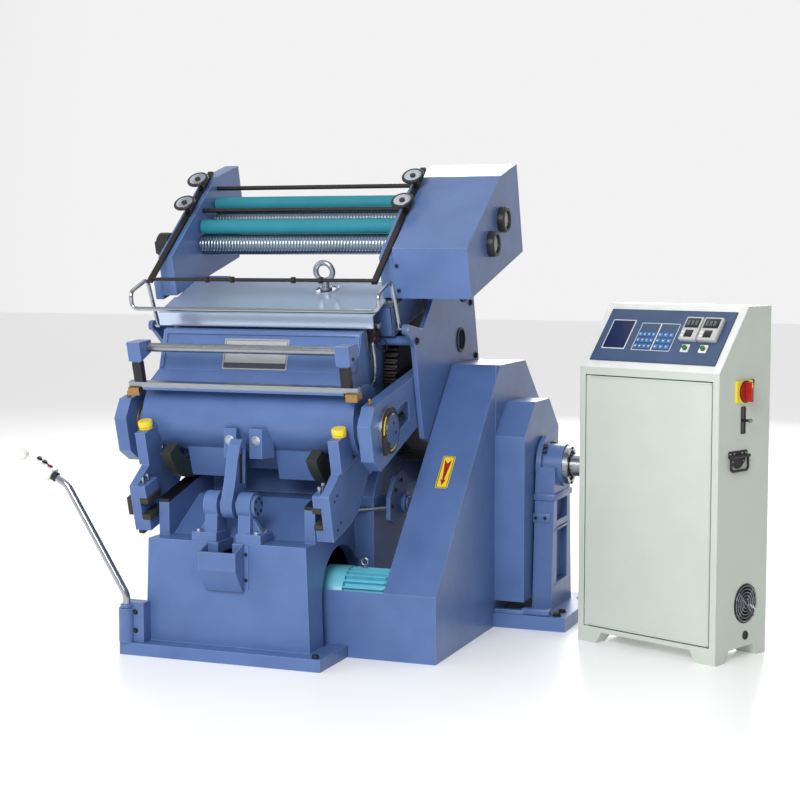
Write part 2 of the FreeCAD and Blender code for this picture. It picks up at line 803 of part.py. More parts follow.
def pillow_blocks():
    """Two pillow blocks on the valley floor, the pivot shaft between them and its end cap."""
    outer = "pillow_inner + pillow_width"
    foot = block("pillow_foot", ("pillow_inner", "pillow_inner + pillow_foot"),
                 ("pivot_y - pillow_foot_depth / 2", "pivot_y + pillow_foot_depth / 2"),
                 ("body_top", "body_top + pillow_foot_thick"))
    web = slab("pillow_web", "side", [
        ("pivot_y - pillow_foot_depth / 2 + pivot_cap_thick", "body_top + pillow_foot_thick"),
        ("pivot_y - pillow_web / 2", "pivot_z"), ("pivot_y + pillow_web / 2", "pivot_z"),
        ("pivot_y + pillow_foot_depth / 2 - pivot_cap_thick", "body_top + pillow_foot_thick")],
        ("pillow_inner + side_gap * 3", outer + " - side_gap * 3"))
    gusset = slab("pillow_gusset", "front", [
        (outer + " - side_gap * 5", "body_top + pillow_foot_thick"),
        ("pillow_inner + pillow_foot - pivot_cap_thick", "body_top + pillow_foot_thick"),
        (outer + " - side_gap * 5", "pivot_z - pivot_cap_radius")],
        ("pivot_y - pivot_cap_thick", "pivot_y + pivot_cap_thick"))
    head = rod("pillow_head", "x", "pillow_radius", ("pillow_inner", outer), "pivot_y", "pivot_z")
    bore = rod("pillow_bore", "x", "pivot_radius + seat_gap",
            ("pillow_inner - side_gap", outer + " + side_gap"),
               "pivot_y", "pivot_z")
    right = cut("pillow_right", fuse("pillow_solid", [foot, web, head, gusset]), [bore])
    keep(group("pillow_blocks", [right, mirrored("pillow_left", right)]), "pillow_blocks")
    shaft = rod("pivot_bar", "x", "pivot_radius", ("-pillow_inner - pillow_width - pivot_cap_thick", outer),
                "pivot_y", "pivot_z")
    cap = rod("pivot_cap", "x", "pivot_cap_radius", (outer, outer + " + pivot_cap_thick"), "pivot_y",
            "pivot_z")
    keep(fuse("link_pivot_shaft", [shaft, cap]), "link_pivot_shaft")


def slotted_link():
    """Slotted link that swings on the pivot shaft and steadies the platen."""
    sides = ("-link_width / 2", "link_width / 2")
    eye = rod("link_eye_disc", "x", "link_eye", sides, "pivot_y", "pivot_z")
    head_z = "pivot_z + link_height"
    back = "pivot_y + link_back"
    arm = slab("link_arm", "side", [
        ("pivot_y - link_eye * 0.9", "pivot_z + link_eye * 0.35"),
        ("pivot_y - link_front + link_lean * 0.3", "pivot_z + link_height * 0.4"),
        ("pivot_y - link_front + link_lean * 0.7", "pivot_z + link_height * 0.7"),
        ("pivot_y - link_front * 0.75 + link_lean", "pivot_z + link_height * 0.92"),
        ("pivot_y - link_front * 0.2 + link_lean", head_z), (back, head_z),
        (back, "pivot_z + link_slot_foot * 0.8"),
        ("pivot_y + link_eye * 0.9", "pivot_z + link_eye * 0.35")], sides)
    slot = slab("link_slot_cut", "side", [
        (back + " - link_rim - link_slot", "pivot_z + link_slot_foot"),
        (back + " - link_rim", "pivot_z + link_slot_foot"),
        (back + " - link_rim", "pivot_z + link_height * 0.84"),
        (back + " - link_rim - link_slot / 2", "pivot_z + link_height * 0.88"),
        (back + " - link_rim - link_slot", "pivot_z + link_height * 0.74")], ("-link_width", "link_width"))
    bore = rod("link_bore", "x", "pivot_radius + run_gap", ("-link_width", "link_width"), "pivot_y",
            "pivot_z")
    keep(cut("slotted_link", fuse("link_solid", [eye, arm]), [slot, bore]), "slotted_link")


def platen():
    """Platen casting: working plate, rounded barrel, shelf and the belly between the shoes."""
    plate = slab("platen_plate", "side", [
        ("platen_face", "platen_head"), ("platen_face - platen_edge", "platen_head"),
        ("panel_foot_u", "panel_foot_v"), ("shelf_break", "shelf_top"), ("shelf_front", "shelf_top"),
        ("shelf_front", "shelf_top - shelf_drop"), ("shelf_under_u", "shelf_under_v"),
        ("barrel_u", "barrel_v"), ("belly_back", "belly_top"), ("belly_back", "-platen_low"),
        ("platen_face", "-platen_low")], ("-platen_half", "platen_half"))
    barrel = cut("platen_barrel", rod("platen_roll", "x", "barrel_radius", ("-barrel_half", "barrel_half"),
                                      "barrel_u", "barrel_v"),
                 [block("platen_flat", ("-barrel_half - side_gap", "barrel_half + side_gap"),
                        ("platen_face", "platen_face + barrel_radius"),
                        ("-barrel_radius * 2", "barrel_radius * 2"))])
    journal = rod("platen_journal", "x", "journal_radius", ("-journal_half", "journal_half"), "0", "0")
    belly = slab("platen_belly", "side", [
        ("shelf_break", "barrel_v - barrel_radius * 0.7"), ("belly_back", "belly_top"),
        ("belly_back", "-platen_low"),
        ("-roll_radius * 0.25", "-platen_low * 0.95")], ("belly_gap / 2", "rail_inner"))
    bore = rod("platen_bore", "x", "trunnion_radius + run_gap",
            ("-journal_half - side_gap", "journal_half + side_gap"),
               "0", "0")
    keep(in_press(cut("platen_casting",
            fuse("platen_solid", [plate, barrel, journal, belly,
            mirrored("platen_belly_left", belly)]), [bore])),
         "platen_casting")


def guide_hooks():
    """Side hooks bolted to the platen, each with a notched jaw."""
    plate = slab("hook_plate", "side", [
        ("hook_boss_front", "hook_boss_top"), ("hook_boss_back", "hook_boss_top"),
        ("hook_boss_back", "belly_top"), ("belly_back", "belly_top"), ("belly_back", "-platen_low"),
        ("hook_heel_u + hook_heel_rise", "jaw_foot + hook_heel_rise"), ("hook_heel_u", "jaw_foot"),
        ("jaw_front", "jaw_foot"), ("jaw_front", "jaw_top"), ("hook_boss_front", "hook_boss_foot")],
        ("hook_plate_inner", "hook_plate_outer"))
    boss = block("hook_boss", ("hook_plate_inner", "hook_boss_outer"),
            ("hook_boss_front", "hook_boss_back"),
                 ("hook_boss_foot", "hook_boss_top"))
    jaw = block("hook_jaw", ("jaw_inner", "hook_plate_outer"), ("jaw_front", "jaw_front + jaw_depth"),
                ("jaw_foot", "jaw_top"))
    notch = block("hook_notch", ("jaw_inner - side_gap", "jaw_inner + jaw_notch_depth"),
                  ("jaw_front - side_gap", "jaw_front + jaw_depth + side_gap"),
                  ("jaw_notch_foot", "jaw_notch_top"))
    barrel = rod("hook_barrel", "x", "barrel_radius + seat_gap", ("hook_plate_inner - side_gap",
                                                                 "hook_boss_outer + side_gap"),
                                                                 "barrel_u", "barrel_v")
    right = cut("hook_right", fuse("hook_solid", [plate, boss, jaw]), [notch, barrel])
    keep(in_press(group("guide_hooks", [right, mirrored("hook_left", right)])), "guide_hooks")


def rocker_shoes():
    """Curved shoes under the platen, rolling on the rails about the trunnion axis."""
    ends = ("rail_inner", "rail_outer")
    outer = rod("shoe_outer", "x", "roll_radius", ends, "0", "0", "shoe_start", "shoe_sweep")
    inner = rod("shoe_hollow", "x", "shoe_inner", ("rail_inner - side_gap", "rail_outer + side_gap"),
            "0", "0")
    shoe = cut("shoe_right", outer, [inner])
    keep(in_press(group("rocker_shoes", [shoe, mirrored("shoe_left", shoe)])), "rocker_shoes")


def platen_fittings():
    """Front bar on its bronze blocks, the sheet rest above it and the flange that meets the link."""
    bar = block("front_bar", ("-bar_half", "bar_half"), ("shelf_front", "shelf_front + bar_depth"),
                ("shelf_top", "shelf_top + bar_height"))
    rest = rod("rest_bar", "x", "rest_radius", ("-rest_half", "rest_half"), "rest_u", "rest_v")
    keep(in_press(group("platen_bars", [bar, rest])), "platen_bars")
    bronze = block("bronze_right", ("bar_half - block_length", "bar_half"),
                   ("shelf_front - block_depth / 4", "shelf_front + block_depth * 0.75"),
                   ("shelf_top - block_height", "shelf_top"))
    clear = block("bronze_clear", ("0", "platen_half"),
            ("shelf_front - block_depth", "shelf_front + block_depth"),
                  ("shelf_top - block_height - side_gap", "shelf_top + side_gap"))
    trimmed = cut("bronze_trimmed", bronze, [clear])
    keep(in_press(group("bronze_blocks", [trimmed, mirrored("bronze_left", trimmed)])), "bronze_blocks")
    head = slab("rest_head", "side", [
        ("rest_u - bracket_depth + rest_radius", "rest_v + bracket_height * 0.52"),
        ("rest_u + rest_radius * 1.4", "rest_v + bracket_height * 0.3"),
        ("rest_u + rest_radius * 1.4", "rest_v - bracket_height * 0.3"),
        ("rest_u - bracket_depth + rest_radius", "rest_v - bracket_height * 0.48")],
        ("rest_half", "rest_half + bracket_width"))
    post = block("rest_post", ("rest_half + bracket_width / 2 - post_width / 2",
                               "rest_half + bracket_width / 2 + post_width / 2"),
                 ("shelf_front", "shelf_front + post_depth"), ("shelf_top + bar_height", "rest_v"))
    right = fuse("rest_right", [head, post])
    keep(in_press(group("rest_brackets", [right, mirrored("rest_left", right)])), "rest_brackets")


def link_flange():
    """Flange bolted to the barrel in two halves, one on each side of the slotted link."""
    low = "pivot_z + flange_low"
    high = "pivot_z + flange_low + flange_height"
    front = "pivot_y + flange_ahead"
    inner = "link_width / 2 + flange_gap"
    plate = slab("flange_plate", "top", [
        (inner, front), ("bracket_half", front),
        ("bracket_half + flange_flare", front + " + barrel_radius"),
        (inner, front + " + barrel_radius")], (low, high))
    barrel = rod("flange_barrel", "x", "barrel_radius + seat_gap", ("0", "bracket_half * 2"),
                 press_y("barrel_u", "barrel_v"), press_z("barrel_u", "barrel_v"))
    behind = block("flange_behind", ("0", "bracket_half * 2"),
                   (press_y("barrel_u", "barrel_v") + " - barrel_radius * 0.75",
                    press_y("barrel_u", "barrel_v") + " + barrel_radius"),
                    (low + " - side_gap", high + " + side_gap"))
    right = cut("flange_right", plate, [barrel, behind])
    keep(group("link_bracket", [right, mirrored("flange_left", right)]), "link_bracket")


def trunnion_and_arms():
    """Trunnion shaft, the two side arms that pull the platen and the dials on their ends."""
    outer = "arm_inner + arm_thick"
    keep(rod("trunnion_shaft", "x", "trunnion_radius", ("-arm_inner - arm_thick", outer),
            "trunnion_y", "trunnion_z"),
         "trunnion_shaft")
    plate = slab("arm_plate", "side", [
        ("-arm_shoulder", "arm_half"), ("-arm_nose", "arm_nose_half"), ("-arm_nose", "-arm_nose_half"),
        ("-arm_shoulder", "-arm_half"), ("arm_mid", "-arm_mid_half"), ("arm_length", "-arm_eye"),
        ("arm_length", "arm_eye"), ("arm_mid", "arm_mid_half")], ("arm_inner", outer))
    eye = rod("arm_eye_disc", "x", "arm_eye", ("arm_inner", outer), "arm_length", "0")
    bore = rod("arm_bore", "x", "trunnion_radius + seat_gap",
            ("arm_inner - side_gap", outer + " + side_gap"), "0", "0")
    pin_bore = rod("arm_pin_bore", "x", "pin_radius + run_gap",
            ("arm_inner - side_gap", outer + " + side_gap"),
                   "arm_length", "0")
    pocket = block("arm_pocket", (outer + " - arm_pocket_deep", outer + " + side_gap"),
                   ("arm_pocket_near", "arm_pocket_far"), ("-arm_pocket_half", "arm_pocket_half"))
    right = cut("arm_right", fuse("arm_solid", [plate, eye]), [bore, pin_bore, pocket])
    keep(in_press(group("side_arms", [right, mirrored("arm_left", right)])), "side_arms")
    ring = rod("dial_ring", "x", "dial_radius", (outer, outer + " + dial_thick"), "0", "0")
    face = rod("dial_face", "x", "dial_face_radius",
            (outer + " + dial_thick", outer + " + dial_thick + dial_face_thick"),
               "0", "0")
    dial = fuse("dial_right", [ring, face])
    keep(in_press(group("trunnion_dials", [dial, mirrored("dial_left", dial)])), "trunnion_dials")


def toothed(name, teeth, phase, inner, width):
    """Toothed wheel with straight flanks; a tooth stands at the phase angle."""
    module = value("gear_module")
    pitch = module * teeth / 2.0
    step = 2 * math.pi / teeth
    points = []
    for i in range(teeth):
        middle = phase + i * step
        for radius, half in ((pitch - 1.25 * module, 0.33), (pitch + module, 0.11), (pitch + module, -0.11),
                             (pitch - 1.25 * module, -0.33)):
            angle = middle - half * step
            points.append(Vector(0, radius * math.cos(angle), radius * math.sin(angle)))
    wheel = doc.addObject("Part::Feature", name)
    face = Part.Face(Part.makePolygon(points + points[:1]))
    wheel.Shape = face.extrude(Vector(value(width), 0, 0))
    wheel.Placement = Placement(Vector(value(inner), 0, 0), Rotation())
    return wheel


def crank_and_drive():
    """Crank gears with their pins, and the drive shaft with the pinions that turn them."""
    down = -math.radians(value("mesh_angle"))
    gear = toothed("gear_right", GEAR_TEETH, down, "gear_inner", "gear_width")
    outer = "gear_inner + gear_width"
    pin = rod("crank_pin", "x", "pin_radius", (outer, "arm_inner - side_gap"), "stroke / 2", "0")
    shaft = rod("crank_bar", "x", "crank_shaft_radius", ("-gear_inner", "gear_inner"), "0", "0")
    half = fuse("crank_half", [gear, pin])
    crank = fuse("crank_gears", [half, mirrored("crank_half_left", half), shaft])
    in_press(crank)
    keep(put(crank, "0", press_y("crank_u", "0"), press_z("crank_u", "0")), "crank_gears")
    gap = down + math.pi + math.pi / PINION_TEETH
    pinion = toothed("pinion_right", PINION_TEETH, gap, "gear_inner", "gear_width")
    bar = rod("drive_bar", "x", "shaft_radius", ("-gear_inner - gear_width", "shaft_end"), "0", "0")
    drive = fuse("drive_shaft", [bar, pinion, mirrored("pinion_left", pinion)])
    in_press(drive)
    keep(put(drive, "0", "shaft_y", "shaft_z"), "drive_shaft")


def bed():
    """Bed casting with its bearing webs and top deck, the heating plate and the sheet cover."""
    face = block("bed_face", ("-bed_half", "bed_half"), ("bed_front", "bed_back"), ("-bed_low", "bed_head"))
    web = slab("bed_web", "side", [
        ("bed_front", "bed_head"), ("bed_front", "-bed_low"), ("seat_front_u", "seat_front_v"),
        ("seat_back_u", "seat_back_v"), ("web_heel", "shaft_v - bearing_drop"),
        ("web_heel", "web_heel_top"),
        ("web_back", "web_knee"), ("web_back", "bed_head")], ("bed_half - web_thick", "bed_half"))
    deck = block("bed_deck", ("bed_half - web_thick - deck_lip", "frame_inner"),
            ("top_deck_front", "foil_back"),
                 ("bed_head", "foil_foot"))
    skirt = slab("bed_skirt", "side", [
        ("bed_front", "-bed_low"), ("seat_front_u", "seat_front_v"), ("skirt_u", "skirt_v"),
        ("bed_front + web_thick * 1.4", "-bed_low"), ("bed_front + web_thick * 1.4", "0"),
        ("bed_front", "0")],
        ("-bed_half", "bed_half"))
    left_web = slab("bed_web_left", "side", [
        ("bed_front", "bed_head"), ("bed_front", "-bed_low"), ("seat_front_u", "seat_front_v"),
        ("seat_back_u", "seat_back_v"), ("web_heel", "shaft_v - bearing_drop"),
        ("web_heel", "web_heel_top"), ("web_back", "web_knee"), ("web_back", "left_rear_v"),
        ("left_deck_back", "bed_head")], ("-bed_half", "web_thick - bed_half"))
    left_deck = block("bed_deck_left", ("-frame_inner", "web_thick + deck_lip - bed_half"),
                      ("top_deck_front", "left_deck_back"), ("bed_head", "foil_foot"))
    solid = fuse("bed_solid", [face, web, left_web, deck, left_deck, skirt])
    pocket = block("bed_pocket", ("web_thick * 1.4 - bed_half", "bed_half - web_thick * 1.4"),
                   ("bed_front + web_thick * 1.4", "bed_back + side_gap"),
                   ("web_thick * 1.4 - bed_low", "bed_head - web_thick * 1.8"))
    crank = rod("bed_crank_bore", "x", "crank_shaft_radius + run_gap",
            ("-bed_half - side_gap", "bed_half + side_gap"),
                "crank_u", "0")
    drive = rod("bed_drive_bore", "x", "shaft_radius + run_gap",
            ("-bed_half - side_gap", "bed_half + side_gap"),
                "shaft_u", "shaft_v")
    eye = rod("bed_eye_bore", "z", "eye_stem + seat_gap",
            ("bed_head - eye_rise", "bed_head + side_gap"), "eye_x", "eye_u")
    keep(in_press(cut("bed_casting", solid, [crank, drive, eye, pocket])), "bed_casting")
    plate = block("heating_plate", ("-plate_half", "plate_half"), ("plate_front", "bed_front"),
            ("-plate_low", "plate_head"))
    keep(in_press(plate), "heating_plate")
    put(plate, "-plate_half", press_y("plate_front", "-plate_low"), press_z("plate_front", "-plate_low"))
    sheet_metal = slab("cover_sheets", "side", [
        ("cover_front", "cover_low"), ("cover_front + cover_sheet", "cover_low"),
        ("cover_front + cover_sheet", "cover_top - cover_sheet"),
        ("cover_back", "cover_peak - cover_sheet"),
        ("cover_back", "cover_peak"), ("cover_front", "cover_top")], ("-cover_half", "cover_half"))
    hole = rod("cover_hole", "z", "eye_hole", ("cover_low", "cover_peak + side_gap"), "eye_x", "eye_u")
    notch = block("cover_notch", ("foil_inner - side_gap", "cover_half + side_gap"),
            ("foil_front - side_gap", "cover_back + side_gap"),
                  ("cover_low", "cover_peak + side_gap"))
    keep(in_press(cut("bed_cover", sheet_metal, [hole, notch, mirrored("cover_notch_left", notch)])),
            "bed_cover")
    ring = doc.addObject("Part::Torus", "eye_ring_torus")
    bind(ring, "Radius1", "eye_ring")
    bind(ring, "Radius2", "eye_wire")
    ring.Placement = Placement(Vector(), TURN["y"])
    put(ring, "eye_x", "eye_u", "eye_cover_v + eye_rise")
    stem = rod("eye_stem_bar", "z", "eye_stem",
            ("bed_head - eye_rise / 2", "eye_cover_v + eye_rise - eye_ring"), "eye_x", "eye_u")
    collar = rod("eye_collar_disc", "z", "eye_collar", ("bed_head", "eye_cover_v + eye_wire"),
            "eye_x", "eye_u")
    keep(in_press(fuse("lifting_eye", [ring, stem, collar])), "lifting_eye")


def side_frames():
    """Side plates outside the arms, tied to the bed webs and carrying the bail's pivots."""
    sides = ("frame_inner", "frame_inner + frame_thick")
    plate = slab("frame_plate", "side", [
        ("frame_front", "frame_ledge_v"), ("frame_ledge_back", "frame_ledge_v"),
        ("frame_brow_u", "frame_brow_v"),
        ("frame_head_u", "foil_foot"), ("frame_back", "foil_foot"), ("frame_back", "frame_knee"),
        ("frame_heel", "frame_low"), ("frame_toe", "frame_low"), ("frame_front", "frame_chin")], sides)
    strut = slab("frame_strut", "side", [
        ("bail_pivot_u", "bail_pivot_v - lug_radius"), ("bail_pivot_u", "bail_pivot_v + lug_radius"),
        ("frame_ledge_back", "frame_ledge_v"), ("frame_front", "frame_ledge_v - lug_radius * 2")], sides)
    lug = rod("frame_lug", "x", "lug_radius", sides, "bail_pivot_u", "bail_pivot_v")
    ties = [rod("frame_tie_%d" % i, "x", radius, ("bed_half", "frame_inner + side_gap"), u, v)
            for i, (radius, u, v) in enumerate([
                ("tie_radius * 0.72", "frame_front + tie_lead", "frame_ledge_v - tie_lead"),
                ("tie_radius", "web_back - tie_inset", "tie_rear_v"),
                ("tie_radius", "web_back - tie_radius", "frame_knee + tie_radius")])]
    window = rod("frame_window", "x", "frame_hole",
            ("frame_inner - side_gap", "frame_inner + frame_thick + side_gap"),
                 "frame_hole_u", "frame_hole_v")
    pivot = rod("frame_pivot_bore", "x", "bail_tube + run_gap", ("frame_inner - side_gap",
                                                                "frame_inner + frame_thick + side_gap"),
                "bail_pivot_u", "bail_pivot_v")
    right = cut("frame_right", fuse("frame_solid", [plate, strut, lug] + ties), [window, pivot])
    above = slab("frame_left_above", "side", [
        ("frame_brow_u", "frame_brow_v"), ("left_deck_back", "frame_brow_v"),
        ("frame_back + side_gap", "left_rear_v"), ("frame_back + side_gap", "foil_foot + side_gap"),
        ("frame_brow_u", "foil_foot + side_gap")],
        ("-frame_inner - frame_thick - side_gap", "side_gap - frame_inner"))
    left = cut("frame_left", mirrored("frame_left_tall", right), [above])
    keep(in_press(group("side_frames", [right, left])), "side_frames")


def foil_housings():
    """Housings of the foil unit with the journals' bores, the drive box and the motor caps."""
    plate = slab("foil_plate_right", "side", [
        ("foil_front", "foil_foot"), ("foil_front", "foil_brow"), ("foil_crest", "foil_top"),
        ("foil_back", "foil_top"),
        ("foil_back", "foil_foot")], ("foil_inner", "foil_inner + foil_plate"))
    bores = []
    for step in range(2):
        for kind in ("steel", "rubber"):
            u = "%s_u + roller_step_u * %d" % (kind, step)
            v = "%s_v + roller_step_v * %d" % (kind, step)
            bores.append(rod("foil_bore_%s_%d" % (kind, step), "x", "roller_journal + run_gap",
                             ("foil_inner - side_gap", "foil_inner + journal_depth + side_gap"), u, v))
    bored = cut("foil_bored", plate, bores)
    rake = slab("foil_left_rake", "side", [
        ("foil_back - foil_rake", "foil_foot - side_gap"), ("foil_back + side_gap", "foil_foot - side_gap"),
        ("foil_back + side_gap", "foil_foot + foil_rake_rise")],
        ("-foil_inner - foil_plate - side_gap", "side_gap - foil_inner"))
    keep(in_press(cut("foil_housing_left", mirrored("foil_left_whole", bored), [rake])), "foil_housing_left")
    near = "foil_inner + foil_plate"
    far = near + " + foil_box_width"
    outer = slab("foil_box_outer", "side", [
        ("foil_box_front", "foil_foot"), ("foil_box_front", "foil_box_brow"),
        ("foil_box_crest", "foil_box_top"),
        ("foil_back", "foil_box_top"), ("foil_back", "foil_foot")], (near, far))
    inner = slab("foil_box_inner", "side", [
        ("foil_box_front + foil_wall", "foil_foot + foil_wall"),
        ("foil_box_front + foil_wall", "foil_box_brow - foil_wall * 2"),
        ("foil_box_crest + foil_wall", "foil_box_top - foil_wall"),
        ("foil_back - foil_wall", "foil_box_top - foil_wall"),
        ("foil_back - foil_wall", "foil_foot + foil_wall")],
        (near + " + foil_wall", far + " - foil_wall"))
    shell = cut("foil_shell", outer, [inner])
    over = slab("foil_right_over", "side", [
        ("foil_box_front", "foil_box_brow"), ("foil_box_crest", "foil_box_top"),
        ("foil_back + side_gap", "foil_box_top"), ("foil_back + side_gap", "foil_top + foil_plate"),
        ("foil_box_front", "foil_top + foil_plate")],
        ("foil_inner - side_gap", near + " + side_gap"))
    flush = cut("foil_plate_flush", bored, [over])
    keep(in_press(fuse("foil_drive_box", [flush, shell])), "foil_drive_box")
    caps = [rod("foil_cap_%d" % step, "x", "cap_radius", (far, far + " + cap_thick"),
                "steel_u + roller_step_u * %d" % step,
                "steel_v + roller_step_v * %d" % step) for step in range(2)]
    left = rod("foil_cap_left", "x", "cap_radius", ("-foil_inner - foil_plate - left_cap_thick",
                                                   "-foil_inner - foil_plate"), "left_cap_u", "left_cap_v")
    keep(in_press(group("foil_motor_caps", caps + [left])), "foil_motor_caps")


def foil_rollers():
    """Two driven steel rollers and the rubber rollers pressed on them."""
    for place, step in (("front", 0), ("rear", 1)):
        for kind in ("steel", "rubber"):
            name = "%s_roller_%s" % (kind, place)
            drum = rod(name + "_drum", "x", kind + "_radius", ("-roller_half", "roller_half"), "0", "0")
            pin = rod(name + "_pin", "x", "roller_journal",
                    ("-foil_inner - journal_depth", "foil_inner + journal_depth"),
                      "0", "0")
            roller = in_press(fuse(name, [drum, pin]))
            u = "%s_u + roller_step_u * %d" % (kind, step)
            v = "%s_v + roller_step_v * %d" % (kind, step)
            keep(put(roller, "0", press_y(u, v), press_z(u, v)), name)


def foil_guides():
    """Slide bars on the housings, the guide rod with its collars and the two press rods."""
    sides = ("slide_bar_x", "slide_bar_x + slide_bar_width")
    bar = block("slide_bar", sides, ("0", "slide_bar_length"), ("0", "slide_bar_thick"))
    bar.Placement = Placement(Vector(), Rotation(Vector(1, 0, 0), value("bar_slope")))
    bind(bar, "Placement.Rotation.Angle", "bar_slope")
    put(bar, "slide_bar_x", "slide_bar_start", "slide_bar_v")
    guide = rod("guide_rod", "x", "guide_rod_radius",
            ("-slide_bar_x - slide_bar_width", "slide_bar_x + slide_bar_width"),
                "slide_bar_start + guide_rod_inset", "slide_bar_v + guide_rod_inset")
    collars = [rod("collar_" + name, "x", "collar_radius",
            ("%s - collar_width / 2" % x, "%s + collar_width / 2" % x),
                   "slide_bar_start + guide_rod_inset", "slide_bar_v + guide_rod_inset")
               for name, x in COLLARS.items()]
    rods = [rod("press_rod_%d" % step, "x", "press_rod_radius", ("-foil_inner", "foil_inner"),
                "press_rod_u + roller_step_u * %d" % step, "press_rod_v + roller_step_v * %d" % step)
            for step in range(2)]
    frame = fuse("guide_solid", [bar, mirrored("slide_bar_left", bar), guide] + collars)
    keep(in_press(group("foil_guide_frame", [frame] + rods)), "foil_guide_frame")


def handwheels():
    """Handwheels that set the press rollers, two on each side bar."""
    places = {"front_left": (-1, 0), "rear_left": (-1, 1), "front_right": (1, 0), "rear_right": (1, 1)}
    for place, (side, step) in places.items():
        name = "handwheel_" + place
        ring = doc.addObject("Part::Torus", name + "_ring")
        bind(ring, "Radius1", "wheel_ring")
        bind(ring, "Radius2", "wheel_wire")
        put(ring, "0", "0", "wheel_rise")
        hub = rod(name + "_hub", "z", "wheel_hub",
                ("wheel_rise - wheel_hub_height", "wheel_rise + wheel_wire"), "0", "0")
        stem = rod(name + "_stem", "z", "wheel_stem", ("face_gap", "wheel_rise"), "0", "0")
        spokes = []
        for i in range(WHEEL_SPOKES):
            spoke = doc.addObject("Part::Cylinder", name + "_spoke_%d" % i)
            bind(spoke, "Radius", "wheel_spoke")
            bind(spoke, "Height", "wheel_ring")
            spoke.Placement = Placement(Vector(),
                    Rotation(Vector(0, 0, 1), i * 360.0 / WHEEL_SPOKES).multiply(TURN["x"]))
            put(spoke, "0", "0", "wheel_rise")
            spokes.append(spoke)
        wheel = fuse(name, [ring, hub, stem] + spokes)
        along = "(wheel_near + wheel_step * %d)" % step
        u = "slide_bar_start + %s * cos(bar_slope) - slide_bar_thick * sin(bar_slope)" % along
        v = "slide_bar_v + %s * sin(bar_slope) + slide_bar_thick * cos(bar_slope)" % along
        wheel.Placement = Placement(Vector(),
                Rotation(Vector(1, 0, 0), value("press_tilt") + value("bar_slope")))
        bind(wheel, "Placement.Rotation.Angle", "press_tilt + bar_slope")
        keep(put(wheel, "%d * (slide_bar_x + slide_bar_width / 2)" % side, press_y(u, v),
                press_z(u, v)), name)


def bail():
    """Bent tube bail in front of the platen gap, hung on the side frames."""
    half = value("bail_half")
    end = value("frame_inner") + value("frame_thick")
    side = [Vector(end, value("bail_pivot_u"), value("bail_pivot_v")),
            Vector(half, value("bail_pivot_u"), value("bail_pivot_v"))]
    route = [Vector(half, value(u), value(v)) for u, v in (("bail_pivot_u", "bail_pivot_v"),
                                                           ("bail_shoulder_u", "bail_shoulder_v"),
                                                           ("bail_corner_u", "bail_corner_v"),
                                                           ("bail_rail_u", "bail_rail_v"))]
    left = [Vector(-p.x, p.y, p.z) for p in reversed(route)]
    loop = tube("bail_loop", route + left, value("bail_tube"), value("bail_bend"))
    pin = rod("bail_pin", "x", "bail_tube", ("bail_half - bail_tube", "frame_inner + frame_thick"),
              "bail_pivot_u", "bail_pivot_v")
    keep(in_press(fuse("safety_bail", [loop, pin, mirrored("bail_pin_left", pin)])), "safety_bail")


def cable():
    """Lead that hangs in a short loop under the foil drive box."""
    top = value("foil_foot")
    x = value("loop_x")
    near = value("loop_u")
    far = near + value("loop_span")
    low = top - value("loop_drop")
    points = [Vector(x, near, top), Vector(x, near, low), Vector(x, far, low), Vector(x, far, top)]
    bend = value("loop_span") * 0.45
    keep(in_press(tube("cable_loop", points, value("loop_radius"), bend)), "cable_loop")


def belt_guard():
    """Sheet guard round the flywheel and belts, with the low screen in front of the motor."""
    sheet_gap = "guard_sheet"
    outline = [("guard_front", "0"), ("guard_front", "guard_low"), ("guard_crest_front_y", "guard_top"),
               ("guard_crest_back_y", "guard_top"), ("guard_rear_y", "guard_rear_z"), ("guard_rear_y", "0")]
    outer = slab("guard_outer_skin", "side", outline, ("guard_inner", "guard_outer"))
    inner = slab("guard_inner_skin", "side", [
        ("guard_front + guard_sheet", "-guard_sheet"),
        ("guard_front + guard_sheet", "guard_low - guard_sheet"),
        ("guard_crest_front_y + guard_sheet", "guard_top - guard_sheet"),
        ("guard_crest_back_y - guard_sheet", "guard_top - guard_sheet"),
        ("guard_rear_y - guard_sheet", "guard_rear_z - guard_sheet"),
        ("guard_rear_y - guard_sheet", "-guard_sheet")],
        ("guard_inner + guard_sheet", "guard_outer - guard_sheet"))
    hole = rod("guard_hole", "x", "shaft_hole", ("guard_inner - side_gap", "guard_outer + side_gap"),
            "shaft_y", "shaft_z")
    motor_hole = rod("guard_motor_hole", "x", "shaft_hole",
            ("guard_inner - side_gap", "guard_inner + guard_sheet + side_gap"),
                     "motor_y", "motor_z")
    shell = cut("guard_shell", outer, [inner, hole, motor_hole])
    upper = block("screen_upper", ("screen_left", "guard_inner + guard_sheet"),
            ("guard_front", "guard_front + guard_sheet"),
                  ("flange_thick", "guard_low"))
    lower = block("screen_lower", ("base_width / 2 + screen_lap", "guard_inner + guard_sheet"),
                  ("guard_front", "guard_front + " + sheet_gap), ("0", "flange_thick"))
    keep(fuse("belt_guard", [shell, upper, lower]), "belt_guard")


